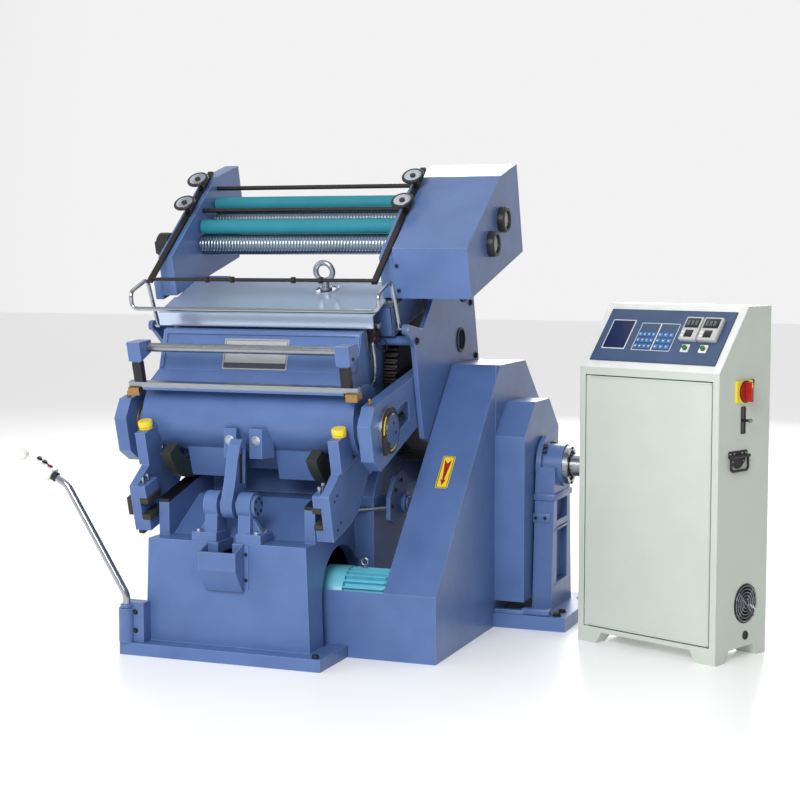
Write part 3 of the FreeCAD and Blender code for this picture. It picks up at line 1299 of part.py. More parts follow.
def clutch_casing():
    """Octagonal casing over the clutch, beside the belt guard."""
    def octagon(inset):
        return [("shaft_y - casing_front + %s" % inset, "pedestal_foot + casing_gap + %s" % inset),
                ("shaft_y - casing_front + %s" % inset, "shaft_z + casing_shoulder"),
                ("shaft_y - casing_crest_half", "shaft_z + casing_top - %s" % inset),
                ("shaft_y + casing_crest_half", "shaft_z + casing_top - %s" % inset),
                ("shaft_y + casing_back - %s" % inset, "shaft_z + casing_shoulder"),
                ("shaft_y + casing_back - %s" % inset, "pedestal_foot + casing_gap + %s" % inset)]
    outer = slab("casing_outer_skin", "side", octagon("0"), ("guard_outer", "casing_outer"))
    inner = slab("casing_inner_skin", "side", octagon("guard_sheet"),
                 ("guard_outer + guard_sheet", "casing_outer - guard_sheet"))
    hole = rod("casing_hole", "x", "shaft_hole",
            ("guard_outer - side_gap", "casing_outer + side_gap"), "shaft_y", "shaft_z")
    keep(cut("clutch_casing", outer, [inner, hole]), "clutch_casing")


def pedestal():
    """Outboard bearing pedestal with a framed column, its housing and the steel end cover."""
    foot = block("pedestal_plate", ("guard_outer", "guard_outer + pedestal_width"),
                 ("shaft_y - pedestal_depth / 2", "shaft_y + pedestal_depth / 2"), ("0", "pedestal_foot"))
    column_outer = "column_inner + column_width"
    column = slab("pedestal_column", "side", [
        ("shaft_y - column_foot_half", "pedestal_foot"), ("shaft_y - column_head_half", "shaft_z"),
        ("shaft_y + column_head_half", "shaft_z"), ("shaft_y + column_foot_half", "pedestal_foot")],
        ("column_inner", column_outer))
    recess = (column_outer + " - column_window_deep", column_outer + " + side_gap")
    windows = []
    for i, (floor, ceiling) in enumerate(((0.21, 0.68), (0.73, 0.90))):
        windows.append(block("pedestal_window_%d" % i, recess,
                             ("shaft_y - column_head_half + column_frame",
                             "shaft_y + column_head_half - column_frame"),
                             ("pedestal_foot + %s * (shaft_z - housing_radius - pedestal_foot)" % floor,
                              "pedestal_foot + %s * (shaft_z - housing_radius - pedestal_foot)" % ceiling)))
    housing = rod("bearing_housing", "x", "housing_radius", ("column_inner", "housing_end"),
            "shaft_y", "shaft_z")
    flange = rod("bearing_flange", "x", "housing_flange",
            ("column_inner", "column_inner + housing_flange_thick"),
                 "shaft_y", "shaft_z")
    bore = rod("bearing_bore", "x", "shaft_radius + run_gap",
            ("column_inner - side_gap", "housing_end + side_gap"),
               "shaft_y", "shaft_z")
    solid = fuse("pedestal_solid", [foot, cut("pedestal_framed", column, windows), housing, flange])
    keep(cut("bearing_pedestal", solid, [bore]), "bearing_pedestal")
    ring = rod("bearing_ring", "x", "housing_radius - bearing_lip",
            ("housing_end", "housing_end + bearing_cap_thick"),
               "shaft_y", "shaft_z")
    eye = rod("bearing_eye", "x", "bearing_cap_bore",
            ("housing_end - side_gap", "housing_end + bearing_cap_thick + side_gap"),
              "shaft_y", "shaft_z")
    keep(cut("bearing_cap", ring, [eye]), "bearing_cap")


def motor():
    """Finned motor on its bed plate, half inside the arch of the base."""
    cowl_end = "motor_left + cowl_length"
    end = "motor_left + motor_length"
    cowl = rod("motor_cowl", "x", "cowl_radius", ("motor_left", cowl_end), "motor_y", "motor_z")
    core = rod("motor_core_bar", "x", "motor_core", (cowl_end, end), "motor_y", "motor_z")
    fins = []
    for i in range(MOTOR_FINS):
        fin = block("motor_fin_%d" % i, ("0", "motor_length - cowl_length - side_gap * 8"),
                ("0", "fin_reach"),
                    ("-fin_thick / 2", "fin_thick / 2"))
        fin.Placement = Placement(Vector(), Rotation(Vector(1, 0, 0), i * 360.0 / MOTOR_FINS))
        angle = i * 360.0 / MOTOR_FINS
        put(fin, cowl_end, "motor_y + fin_thick / 2 * sin(%s)" % angle,
                "motor_z - fin_thick / 2 * cos(%s)" % angle)
        fins.append(fin)
    foot = block("motor_foot", (cowl_end + " + motor_foot_half", end + " - motor_foot_half"),
                 ("motor_y - motor_plate_half", "motor_y + motor_plate_half"),
                 ("flange_thick + motor_plate_thick", "motor_z - motor_core / 2"))
    plate = block("motor_plate", ("motor_left + motor_foot_half", end),
            ("motor_y - motor_plate_half", "motor_y + motor_plate_half"),
                  ("flange_thick", "flange_thick + motor_plate_thick"))
    solid = fuse("motor_solid", [cowl, core, foot, plate] + fins)
    bore = rod("motor_bore", "x", "motor_shaft + run_gap",
            (end + " - motor_foot_half * 2", end + " + side_gap"), "motor_y", "motor_z")
    keep(cut("drive_motor", solid, [bore]), "drive_motor")
    wheel = rod("pulley_wheel", "x", "pulley_radius", ("pulley_left", "pulley_left + flywheel_width"),
            "motor_y", "motor_z")
    shaft = rod("pulley_shaft", "x", "motor_shaft",
            (end + " - motor_foot_half", "pulley_left + flywheel_width"), "motor_y", "motor_z")
    keep(fuse("motor_pulley", [wheel, shaft]), "motor_pulley")


def flywheel_and_belts():
    """Flywheel that runs free on the drive shaft, and the belts round it and the motor pulley."""
    ends = ("pulley_left", "pulley_left + flywheel_width")
    web_low = "pulley_left + flywheel_width / 2 - flywheel_web / 2"
    web_high = "pulley_left + flywheel_width / 2 + flywheel_web / 2"
    disc = rod("flywheel_disc", "x", "flywheel_radius", ends, "shaft_y", "shaft_z")
    near = rod("flywheel_near", "x", "flywheel_radius - flywheel_rim",
            ("pulley_left - side_gap", web_low), "shaft_y", "shaft_z")
    far = rod("flywheel_far", "x", "flywheel_radius - flywheel_rim",
            (web_high, ends[1] + " + side_gap"), "shaft_y", "shaft_z")
    hub = rod("flywheel_hub_bar", "x", "flywheel_hub", ends, "shaft_y", "shaft_z")
    bore = rod("flywheel_bore", "x", "shaft_radius + run_gap",
            ("pulley_left - side_gap", ends[1] + " + side_gap"), "shaft_y", "shaft_z")
    wheel = fuse("flywheel_solid", [cut("flywheel_dished", disc, [near, far]), hub])
    keep(cut("flywheel", wheel, [bore]), "flywheel")
    keep(group("v_belts", [belt(i) for i in range(BELTS)]), "v_belts")


def belt(index):
    """One endless belt: two arcs and the straight runs between them."""
    big = Vector(0, value("shaft_y"), value("shaft_z"))
    small = Vector(0, value("motor_y"), value("motor_z"))
    line = small - big
    lean = math.acos((value("flywheel_radius") - value("pulley_radius")) / line.Length)
    toward = math.atan2(line.z, line.y)

    def loop(extra):
        corners = []
        for centre, radius in ((big, value("flywheel_radius")), (small, value("pulley_radius"))):
            for sign in (1, -1):
                angle = toward + sign * lean
                reach = radius + value("face_gap") + extra
                corners.append(centre + Vector(0, math.cos(angle), math.sin(angle)) * reach)
        back = big - (small - big).normalize() * (value("flywheel_radius") + value("face_gap") + extra)
        tip = small + (small - big).normalize() * (value("pulley_radius") + value("face_gap") + extra)
        return Part.Wire([Part.LineSegment(corners[0], corners[2]).toShape(),
                          Part.Arc(corners[2], tip, corners[3]).toShape(),
                          Part.LineSegment(corners[3], corners[1]).toShape(),
                          Part.Arc(corners[1], back, corners[0]).toShape()])
    middle = value("pulley_left") + value("flywheel_width") / 2
    left = middle + (index - (BELTS - 1) / 2.0) * value("belt_pitch") - value("belt_width") / 2
    ring = Part.Face(loop(value("belt_thick"))).cut(Part.Face(loop(0.0)))
    strap = doc.addObject("Part::Feature", "belt_%d" % index)
    strap.Shape = ring.extrude(Vector(value("belt_width"), 0, 0)).Solids[0]
    strap.Placement = Placement(Vector(left, 0, 0), Rotation())
    return strap


def station():
    """Swivel push-button station: socket on the base, bent tube, box with a ball and three buttons."""
    sleeve = rod("socket_sleeve", "z", "socket_radius",
            ("flange_thick", "flange_thick + socket_height"), "socket_x", "socket_y")
    pad = block("socket_block", ("socket_x - socket_block_width / 4", "socket_x + socket_block_width"),
                ("socket_y", "body_front"), ("flange_thick", "flange_thick + socket_block_height"))
    bore = rod("socket_bore", "z", "swivel_radius + run_gap",
            ("swivel_foot_z", "flange_thick + socket_height + socket_block_height"),
               "socket_x", "socket_y")
    keep(cut("swivel_socket", fuse("socket_solid", [sleeve, pad]), [bore]), "swivel_socket")
    x = value("socket_x")
    y = value("socket_y")
    rise = value("flange_thick") + value("swivel_rise")
    elbow = Vector(x - value("swivel_reach"), y, rise + value("swivel_climb"))
    tip = elbow + Vector(-value("swivel_tip_reach"), 0, value("swivel_tip_climb"))
    points = [Vector(x, y, value("swivel_foot_z") + value("side_gap")), Vector(x, y, rise), elbow, tip]
    keep(tube("swivel_tube", points, value("swivel_radius"), value("swivel_bend")), "swivel_tube")
    case = block("station_case", ("-box_length", "0"), ("-box_depth / 2", "box_depth / 2"),
            ("-box_height / 2", "box_height / 2"))
    soft = rounded("station_soft", case, "box_round")
    stem = rod("station_stem", "x", "ball_stem",
            ("-box_length - ball_reach", "-box_length + box_round"), "0", "0")
    ball = doc.addObject("Part::Sphere", "station_ball")
    bind(ball, "Radius", "ball_radius")
    put(ball, "-box_length - ball_reach", "0", "0")
    wells = [rod("station_well_%d" % i, "z", "button_radius + side_gap / 2",
            ("box_height / 2 - button_well", "box_height"),
                 "-button_first - button_step * %d" % i, "0") for i in range(3)]
    at_station(keep(cut("station_box", fuse("station_solid", [soft, stem, ball]), wells), "station_box"))
    for i, name in enumerate(("station_button_stop", "station_button_jog", "station_button_run")):
        cap = rod(name, "z", "button_radius", ("0", "button_height"), "0", "0")
        keep(cap, name)
        at_station(cap)
        along = "(button_first + button_step * %d)" % i
        up = "(box_height / 2 - button_well + face_gap * 8)"
        put(cap, "box_x - %s * cos(station_slope) + %s * sin(station_slope)" % (along, up), "socket_y",
            "box_z + %s * sin(station_slope) + %s * cos(station_slope)" % (along, up))


def at_station(piece):
    """Set a piece drawn in the button box's frame into its place."""
    piece.Placement = Placement(Vector(), Rotation(Vector(0, 1, 0), value("station_slope")))
    bind(piece, "Placement.Rotation.Angle", "station_slope")
    return put(piece, "box_x", "socket_y", "box_z")


def in_cabinet(piece, x="0", y="0", z="0"):
    """Set a piece drawn in the cabinet's frame into its place."""
    piece.Placement = Placement(Vector(), Rotation(Vector(0, 0, 1), value("cabinet_turn")))
    bind(piece, "Placement.Rotation.Angle", "cabinet_turn")
    return put(piece, "cabinet_x + (%s) * cos(cabinet_turn) - (%s) * sin(cabinet_turn)" % (x, y),
               "cabinet_y + (%s) * sin(cabinet_turn) + (%s) * cos(cabinet_turn)" % (x, y), z)


def cabinet():
    """Sheet cabinet with a sloping head, feet, a door opening and a fan hole."""
    def profile(inset):
        return [(inset, inset), (inset, "cabinet_front - " + inset),
                ("cabinet_brow", "cabinet_top - " + inset),
                ("cabinet_depth - " + inset, "cabinet_top - " + inset), ("cabinet_depth - " + inset, inset)]
    outer = slab("cabinet_outer", "side", profile("0"), ("0", "cabinet_width"))
    inner = slab("cabinet_inner", "side", [
        ("cabinet_sheet", "foot_height + cabinet_sheet"),
        ("cabinet_sheet", "cabinet_front - cabinet_sheet"),
        ("cabinet_brow", "cabinet_top - cabinet_sheet * 1.5"),
        ("cabinet_depth - cabinet_sheet", "cabinet_top - cabinet_sheet * 1.5"),
        ("cabinet_depth - cabinet_sheet", "foot_height + cabinet_sheet")],
        ("cabinet_sheet", "cabinet_width - cabinet_sheet"))
    front_gap = slab("cabinet_front_gap", "front", [
        ("foot_length", "0"), ("cabinet_width - foot_length", "0"),
        ("cabinet_width - foot_length - foot_slope", "foot_height"),
        ("foot_length + foot_slope", "foot_height")],
        ("-side_gap", "cabinet_depth + side_gap"))
    side_gap = slab("cabinet_side_gap", "side", [
        ("foot_length * 0.7", "0"), ("cabinet_depth - foot_length * 0.7", "0"),
        ("cabinet_depth - foot_length * 0.7 - foot_slope", "foot_height"),
        ("foot_length * 0.7 + foot_slope", "foot_height")],
        ("-side_gap", "cabinet_width + side_gap"))
    opening = block("cabinet_opening", ("door_inset", "cabinet_width - door_inset"),
            ("-side_gap", "cabinet_sheet + side_gap"),
                    ("door_low", "cabinet_front - door_head"))
    fan_hole = rod("cabinet_fan_hole", "x", "fan_radius + fan_clear",
            ("cabinet_width - cabinet_sheet - side_gap", "cabinet_width + side_gap"),
                   "fan_y", "fan_z")
    shell = cut("cabinet_shell", outer, [inner, front_gap, side_gap, opening, fan_hole])
    pin_x = "door_inset + door_gap + door_pin_x"
    head_z = "cabinet_front - door_head"
    lugs = [block("cabinet_lug_%s" % end, ("cabinet_sheet", pin_x + " + door_pin * 3"),
            ("cabinet_sheet", "door_pin_y + door_pin * 2"),
                  levels) for end, levels in (("low", ("door_low - door_pin_rise", "door_low")),
                                              ("high", (head_z, head_z + " + door_pin_rise")))]
    holes = rod("cabinet_lug_holes", "z", "door_pin + run_gap",
            ("door_low - door_pin_rise * 2", head_z + " + door_pin_rise * 2"),
                pin_x, "door_pin_y")
    lugs = cut("cabinet_lugs", group("cabinet_lug_pair", lugs), [holes])
    keep(in_cabinet(fuse("cabinet_body", [shell, lugs])), "cabinet_body")
    leaf = block("door_leaf", ("0", "cabinet_width - door_inset * 2 - door_gap * 2"), ("0", "door_thick"),
                 ("0", "cabinet_front - door_head - door_low - door_gap * 2"))
    door_top = "cabinet_front - door_head - door_low - door_gap"
    pin = rod("door_pivot", "z", "door_pin",
            ("-door_gap - door_pin_rise + side_gap", door_top + " + door_pin_rise - side_gap"),
              "door_pin_x", "door_pin_y")
    door = fuse("cabinet_door", [leaf, pin])
    keep(in_cabinet(door, "door_inset + door_gap", "0", "door_low + door_gap"), "cabinet_door")
    plate = block("cabinet_fascia", ("0", "cabinet_width - fascia_inset * 2"),
            ("0", "fascia_length - fascia_inset * 2"), ("0", "fascia_thick"))
    keep(on_fascia(plate, "fascia_inset", "fascia_inset", "0"), "cabinet_fascia")
    for i, name in enumerate(("panel_button_left", "panel_button_right")):
        cap = rod(name, "z", "panel_button_radius", ("0", "panel_button_height"), "0", "0")
        keep(on_fascia(cap, "panel_button_x + panel_button_step * %d" % i, "panel_button_up",
                "fascia_thick + face_gap * 8"), name)


def on_fascia(piece, x, along, lift):
    """Set a piece drawn on the sloping panel into its place."""
    tilt = Rotation(Vector(1, 0, 0), value("fascia_angle"))
    piece.Placement = Placement(Vector(), Rotation(Vector(0, 0, 1), value("cabinet_turn")).multiply(tilt))
    y = "(%s) * cos(fascia_angle) - (%s) * sin(fascia_angle)" % (along, lift)
    z = "cabinet_front + (%s) * sin(fascia_angle) + (%s) * cos(fascia_angle)" % (along, lift)
    return put(piece, "cabinet_x + (%s) * cos(cabinet_turn) - (%s) * sin(cabinet_turn)" % (x, y),
               "cabinet_y + (%s) * sin(cabinet_turn) + (%s) * cos(cabinet_turn)" % (x, y), z)


def cabinet_side():
    """Main switch, lever, carrying latch and fan on the right side of the cabinet."""
    disc = rod("knob_disc", "x", "knob_radius", ("face_gap", "knob_thick"), "0", "0")
    grip = block("knob_grip_bar", ("knob_thick - side_gap", "knob_thick + knob_grip_height"),
            ("-knob_grip / 2", "knob_grip / 2"),
                 ("-knob_radius", "knob_radius"))
    keep(in_cabinet(fuse("rotary_knob", [disc, grip]), "cabinet_width", "knob_y", "knob_z"), "rotary_knob")
    lever = rod("slot_lever", "x", "lever_radius", ("0", "lever_length"), "0", "0")
    keep(lever, "slot_lever")
    lever.Placement = Placement(Vector(),
            Rotation(Vector(0, 0, 1), value("cabinet_turn")).multiply(TURN["x"]))
    put(lever, "cabinet_x + (cabinet_width + face_gap) * cos(cabinet_turn) - lever_y * sin(cabinet_turn)",
        "cabinet_y + (cabinet_width + face_gap) * sin(cabinet_turn) + lever_y * cos(cabinet_turn)",
        "lever_z")
    half = value("latch_span") / 2
    stand = value("latch_stand")
    drop = value("latch_drop")
    points = [Vector(stand, -half, 0), Vector(stand, -half, -drop), Vector(stand, half, -drop),
            Vector(stand, half, 0)]
    bow = tube("latch_bow", points, value("latch_wire"), value("latch_wire") * 3)
    hinge = rod("latch_hinge", "y", "latch_wire + side_gap",
            ("-latch_span / 2 - latch_wire * 2", "latch_span / 2 + latch_wire * 2"),
                "latch_stand", "0")
    keep(in_cabinet(fuse("latch_bail", [bow, hinge]), "cabinet_width", "latch_y", "latch_z"), "latch_bail")
    hub = rod("fan_hub_disc", "x", "fan_hub", ("-fan_depth", "0"), "0", "0")
    blades = []
    for i in range(FAN_BLADES):
        blade = block("fan_blade_%d" % i, ("-fan_depth", "0"),
                ("fan_hub - side_gap * 3", "fan_radius"), ("-side_gap", "side_gap"))
        blade.Placement = Placement(Vector(), Rotation(Vector(1, 0, 0), i * 360.0 / FAN_BLADES))
        angle = i * 360.0 / FAN_BLADES
        put(blade, "-fan_depth", "(fan_hub - side_gap * 3) * cos(%s) + side_gap * sin(%s)" % (angle, angle),
            "(fan_hub - side_gap * 3) * sin(%s) - side_gap * cos(%s)" % (angle, angle))
        blades.append(blade)
    keep(in_cabinet(fuse("fan_rotor", [hub] + blades), "cabinet_width - fan_inset", "fan_y", "fan_z"),
            "fan_rotor")


def build():
    """Make every sub-part, check it and write its file."""
    fill_sheet()
    for make in (base, trough, rails, pillow_blocks, slotted_link, platen, guide_hooks, rocker_shoes,
            platen_fittings,
                 link_flange, trunnion_and_arms, crank_and_drive, bed, side_frames, foil_housings,
                 foil_rollers,
                 foil_guides, handwheels, bail, cable, belt_guard, clutch_casing, pedestal, motor,
                 flywheel_and_belts,
                 station, cabinet, cabinet_side):
        make()
    doc.recompute()
    for obj in doc.Objects:
        if "Invalid" in obj.State or "Error" in obj.State:
            raise RuntimeError("%s did not build" % obj.Name)
    os.makedirs("parts", exist_ok=True)
    for piece in nodes:
        if piece.Shape.isNull() or not piece.Shape.isValid():
            raise RuntimeError("%s has no sound shape" % piece.Label)
    for piece in nodes:
        piece.Shape.exportStep(os.path.join("parts", piece.Label + ".step"))


build()
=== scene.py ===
import json
import math
from contextlib import contextmanager

import bmesh
import bpy
from bpy.props import FloatProperty, FloatVectorProperty, PointerProperty
from mathutils import Matrix, Vector


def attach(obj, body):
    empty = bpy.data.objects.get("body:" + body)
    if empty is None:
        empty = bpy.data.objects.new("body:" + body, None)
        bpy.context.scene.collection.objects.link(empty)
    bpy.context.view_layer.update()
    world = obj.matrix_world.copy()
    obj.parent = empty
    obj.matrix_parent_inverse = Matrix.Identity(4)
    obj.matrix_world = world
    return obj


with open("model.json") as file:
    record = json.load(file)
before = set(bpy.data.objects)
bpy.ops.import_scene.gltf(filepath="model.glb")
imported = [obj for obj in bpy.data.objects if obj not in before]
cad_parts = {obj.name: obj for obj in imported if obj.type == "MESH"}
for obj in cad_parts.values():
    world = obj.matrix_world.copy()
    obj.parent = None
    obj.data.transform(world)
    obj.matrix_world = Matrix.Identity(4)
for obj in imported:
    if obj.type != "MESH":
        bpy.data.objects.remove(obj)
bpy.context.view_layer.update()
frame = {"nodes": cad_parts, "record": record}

bl_info = {
    "name": "Rolling platen press",
    "version": (1, 0, 0),
    "blender": (4, 5, 0),
    "location": "View3D > Sidebar > Press",
    "description": "Finishes and fittings of a rolling platen press with its control cabinet",
    "category": "Object",
}

NODES = frame["nodes"]
MILLIMETRES = 1000.0


def moved(x, y, z):
    """Shift in millimetres."""
    return Matrix.Translation(Vector((x, y, z)) / MILLIMETRES)


def spun(degrees, axis):
    """Turn round an axis."""
    return Matrix.Rotation(math.radians(degrees), 4, axis)


def mirrored(x=1, y=1, z=1):
    """Mirror along the axes whose factor is -1."""
    return Matrix.Diagonal((x, y, z, 1))


def sloping(foot, head):
    """Frame of a face that rises from its foot to its head, each given by Y and Z."""
    slope = math.atan2(head[1] - foot[1], head[0] - foot[0])
    return moved(0, *foot) @ Matrix.Rotation(slope, 4, "X")


# Frames that the fittings are placed in
PRESS = moved(0, -245, 842) @ spun(15, "X")
CABINET = moved(1132, 244, 0) @ spun(-23.2, "Z")
CABINET_SIDE = CABINET @ moved(629, 0, 0) @ spun(90, "Y")
PANEL = CABINET @ sloping((0, 1063), (187, 1302))
STATION = moved(-695, -580, 658.7) @ spun(29, "Y")
SIDEWAYS = spun(90, "Z") @ spun(90, "X")
FACING = {"+X": spun(90, "Y"), "-X": spun(-90, "Y"), "-Y": spun(90, "X"), "+Z": Matrix()}

# Axes along X, by Y and Z in millimetres
SHAFT = (605.05, 633.11)
PIVOT = (-470, 568)
MOTOR = (-210, 205)
LEVER = (128, 517)

# The same in the frame of the press, and faces of the press by X
PORT = (828, 88)
ROLLERS = [(569 + 152 * step, 560 + 57 * step) for step in range(2)]
FRAME_FACE = 549
PLUG_FACE = 534
DIAL_FACE = 540
DIAL_PLATE_FACE = 550
ARM_FACE = 528
ARM_NUT_FACE = 506
THRUST_FACE = 472.6
COLLAR_FACE = 430.3
REST_FACE = 454

# Places on the cabinet's side, down and across
KNOB = (-993, 160)
SLOT_LEVER = (-888, 157)
FAN = (-205, 192)
LEAD = (-85, 195)

# Stage: lights by name, place, size in metres and power in watts, and the camera
LIGHTS = (
    ("key", (1.2, -6.8, 4.2), 3.0, 400.0),
    ("fill", (-5.0, -2.5, 3.5), 4.0, 90.0),
    ("top", (0.5, 1.5, 5.5), 5.0, 40.0),
    ("back", (-0.8, 7.4, 4.0), 4.0, 340.0),
)
LIGHTS_AIM = Vector((0.5, 0.0, 0.8))
FLOOR_HALF = 30.0
FLOOR_GLOW = 0.17
EYE = (2.805, -6.0734, 1.5)
EYE_TURN = math.radians(20.9)
EYE_PITCH = math.radians(4.98)
FOCAL_LENGTH = 76.5
SENSOR_WIDTH = 36.0
SIGHT = 100.0
WHITE = (1.0, 1.0, 1.0, 1.0)

# Slots of the finishes that only the fittings have
FITTING_SLOTS = {
    "plated": "eye_paint", "pad": "dark_steel", "yellow_paint": "bronze", "silver_plate": "plate_alloy",
    "plate_ink": "black_plastic", "oil": "belt_rubber", "grille": "dial_steel", "navy_glass": "black_plastic",
    "key_blue": "panel_paint", "digits": "cream_paint", "chrome": "polished_tube",
    "display": "black_plastic", "pale_border": "cream_paint",
}

# Tool marks of metals, by how much the noise is squeezed along each axis
EVEN_MARKS = (60.0, 60.0, 60.0)
CAST_MARKS = (30.0, 30.0, 30.0)

SHARP_ANGLE = math.radians(35.0)
ON_AXIS = 0.001


def colour(name, description, default):
    """Colour that a user may change."""
    return FloatVectorProperty(name=name, description=description, default=default, subtype="COLOR", size=3,
                               min=0.0, max=1.0)


class PressFinishes(bpy.types.PropertyGroup):
    """Colours of the press, the foil unit and the cabinet."""
    enamel: colour("Enamel", "Blue of the castings and guards", (0.080, 0.145, 0.335))
    enamel_worn: colour("Worn enamel", "Lighter blue along the edges", (0.22, 0.33, 0.56))
    cream: colour("Cabinet", "Pale paint of the cabinet", (0.52, 0.57, 0.51))
    panel: colour("Panel", "Blue of the sloping panel", (0.050, 0.085, 0.17))
    rubber: colour("Rollers", "Rubber of the foil rollers", (0.018, 0.205, 0.265))
    cover: colour("Cover", "Polished sheet over the bed", (0.52, 0.61, 0.76))
    motor: colour("Motor", "Paint of the motor", (0.13, 0.50, 0.64))
    bronze: colour("Bronze", "Blocks and thrust rings", (0.42, 0.24, 0.10))
    yellow: colour("Yellow", "Oil caps and switch plate", (0.80, 0.60, 0.03))
    red: colour("Red", "Stop button and switch knob", (0.36, 0.014, 0.011))
    green: colour("Green", "Panel buttons", (0.012, 0.15, 0.04))


class PressSizes(bpy.types.PropertyGroup):
    """Sizes of the small fittings."""
    bolt_head: FloatProperty(name="Bolt head", description="Height of a hexagon head over its radius",
                             default=0.75, subtype="FACTOR")
    edge: FloatProperty(name="Edge", description="Rounding of painted edges", default=0.004, unit="LENGTH")


def finishes():
    """Colours chosen in this scene."""
    return bpy.context.scene.press_finishes


def sizes():
    """Sizes chosen in this scene."""
    return bpy.context.scene.press_sizes


# Materials

def new_material(name):
    """Empty material with its shader."""
    material = bpy.data.materials.new(name)
    material.use_nodes = True
    tree = material.node_tree
    return material, tree, tree.nodes["Principled BSDF"]


def feed(node, socket, value):
    """Link a value to a node's socket."""
    node.id_data.links.new(value, node.inputs[socket])


def put(node, **values):
    """Set sockets of a node, their names written with underscores."""
    for key, value in values.items():
        node.inputs[key.replace("_", " ")].default_value = value


def add(tree, kind, **values):
    """Shader node with some of its sockets set."""
    node = tree.nodes.new(kind)
    put(node, **values)
    return node


def speckle(tree, scale, detail=3.0, stretch=None):
    """Noise over the object's own places."""
    place = add(tree, "ShaderNodeTexCoord").outputs["Object"]
    noise = add(tree, "ShaderNodeTexNoise", Scale=scale, Detail=detail)
    if stretch:
        mapping = add(tree, "ShaderNodeMapping", Scale=stretch)
        feed(mapping, "Vector", place)
        place = mapping.outputs["Vector"]
    feed(noise, "Vector", place)
    return noise.outputs["Fac"]


def ramp(tree, value, stops):
    """Colour band driven by a value."""
    band = add(tree, "ShaderNodeValToRGB")
    elements = band.color_ramp.elements
    for element, (position, shade) in zip(elements, stops):
        element.position = position
        element.color = (*shade, 1.0)
    feed(band, "Fac", value)
    return band.outputs["Color"]


def spread(tree, value, low, high, start=0.0, stop=1.0):
    """Value stretched between two numbers, from one end of its input to the other."""
    span = add(tree, "ShaderNodeMapRange", From_Min=start, From_Max=stop, To_Min=low, To_Max=high)
    feed(span, "Value", value)
    return span.outputs["Result"]


def combined(tree, operation, first, second):
    """Two values brought together by arithmetic."""
    node = add(tree, "ShaderNodeMath")
    node.operation = operation
    feed(node, 0, first)
    feed(node, 1, second)
    return node.outputs["Value"]


def bevel(tree, radius):
    """Normal of softly rounded edges."""
    soft = add(tree, "ShaderNodeBevel", Radius=radius)
    soft.samples = 4
    return soft.outputs["Normal"]


def relief(tree, shader, value, strength, distance, edge=0.0):
    """Bump from a value, over softly rounded edges."""
    bump = add(tree, "ShaderNodeBump", Strength=strength, Distance=distance)
    feed(bump, "Height", value)
    if edge:
        feed(bump, "Normal", bevel(tree, edge))
    feed(shader, "Normal", bump.outputs["Normal"])


def edge_mask(tree, radius):
    """Mask along sharp edges."""
    soft = bevel(tree, radius)
    flat = add(tree, "ShaderNodeNewGeometry")
    dot = add(tree, "ShaderNodeVectorMath")
    dot.operation = "DOT_PRODUCT"
    feed(dot, 0, soft)
    feed(dot, 1, flat.outputs["Normal"])
    return ramp(tree, dot.outputs["Value"], [(0.80, (1, 1, 1)), (0.985, (0, 0, 0))])


def worn_edges(tree, mask, paint, worn):
    """Worn colour laid over the paint where the mask is white."""
    mix = add(tree, "ShaderNodeMix")
    mix.data_type = "RGBA"
    factor, first, second = 0, 6, 7
    feed(mix, factor, mask)
    feed(mix, first, paint)
    mix.inputs[second].default_value = (*worn, 1.0)
    return mix.outputs[2]


def shade_of(rgb, factor):
    """Colour made lighter or darker."""
    return tuple(min(1.0, c * factor) for c in rgb)


def mottle(tree, value, base, start, stop, cloud):
    """Colour that wanders a little to both sides of its base."""
    return ramp(tree, value, [(start, shade_of(base, 1.0 - cloud)), (stop, shade_of(base, 1.0 + cloud))])


def enamel(name, base, worn, roughness, grain, depth, edge, coat=0.10, cloud=0.10):
    """Machine enamel: mottled colour, orange peel, softened and slightly worn edges."""
    material, tree, shader = new_material(name)
    mottled = mottle(tree, speckle(tree, 7.0, 5.0), base, 0.30, 0.72, cloud)
    feed(shader, "Base Color", worn_edges(tree, edge_mask(tree, edge), mottled, worn))
    feed(shader, "Roughness", spread(tree, speckle(tree, 22.0, 4.0), roughness - 0.07, roughness + 0.10))
    relief(tree, shader, speckle(tree, grain, 2.0), 0.35, depth, edge)
    put(shader, Coat_Weight=coat, Coat_Roughness=0.18, Specular_IOR_Level=0.38)
    return material


def metal(name, base, roughness, stretch=(4.0, 160.0, 160.0), depth=0.00008, edge=0.0015, marked=1.0,
          metallic=1.0):
    """Turned or brushed metal with fine tool marks, faint where marked is low."""
    material, tree, shader = new_material(name)
    put(shader, Metallic=metallic)
    marks = speckle(tree, 5.0, 6.0, stretch)
    stops = [(0.25, shade_of(base, 1.0 - 0.26 * marked)), (0.75, shade_of(base, 1.0 + 0.12 * marked))]
    feed(shader, "Base Color", ramp(tree, marks, stops))
    feed(shader, "Roughness", spread(tree, marks, roughness - 0.10 * marked, roughness + 0.14 * marked))
    relief(tree, shader, marks, 0.4, depth, edge)
    return material


def knurled(name, base):
    """Bright roller steel with a fine crossed knurl, its grooves darkened in colour as painted shade."""
    material, tree, shader = new_material(name)
    put(shader, Metallic=1.0)
    place = add(tree, "ShaderNodeTexCoord")
    heights = []
    for lean in (38.0, -38.0):
        mapping = add(tree, "ShaderNodeMapping", Rotation=(0, 0, math.radians(lean)))
        wave = add(tree, "ShaderNodeTexWave", Scale=30.0)
        feed(mapping, "Vector", place.outputs["Object"])
        feed(wave, "Vector", mapping.outputs["Vector"])
        heights.append(wave.outputs["Fac"])
    cross = combined(tree, "MULTIPLY", *heights)
    # Painted shade: the colour falls to 0.55 of the base in the grooves of the knurl, over the knurl's own
    # bump
    feed(shader, "Base Color", ramp(tree, cross, [(0.0, shade_of(base, 0.55)), (0.6, base)]))
    feed(shader, "Roughness", spread(tree, speckle(tree, 40.0), 0.22, 0.42))
    relief(tree, shader, cross, 0.8, 0.0014)
    return material


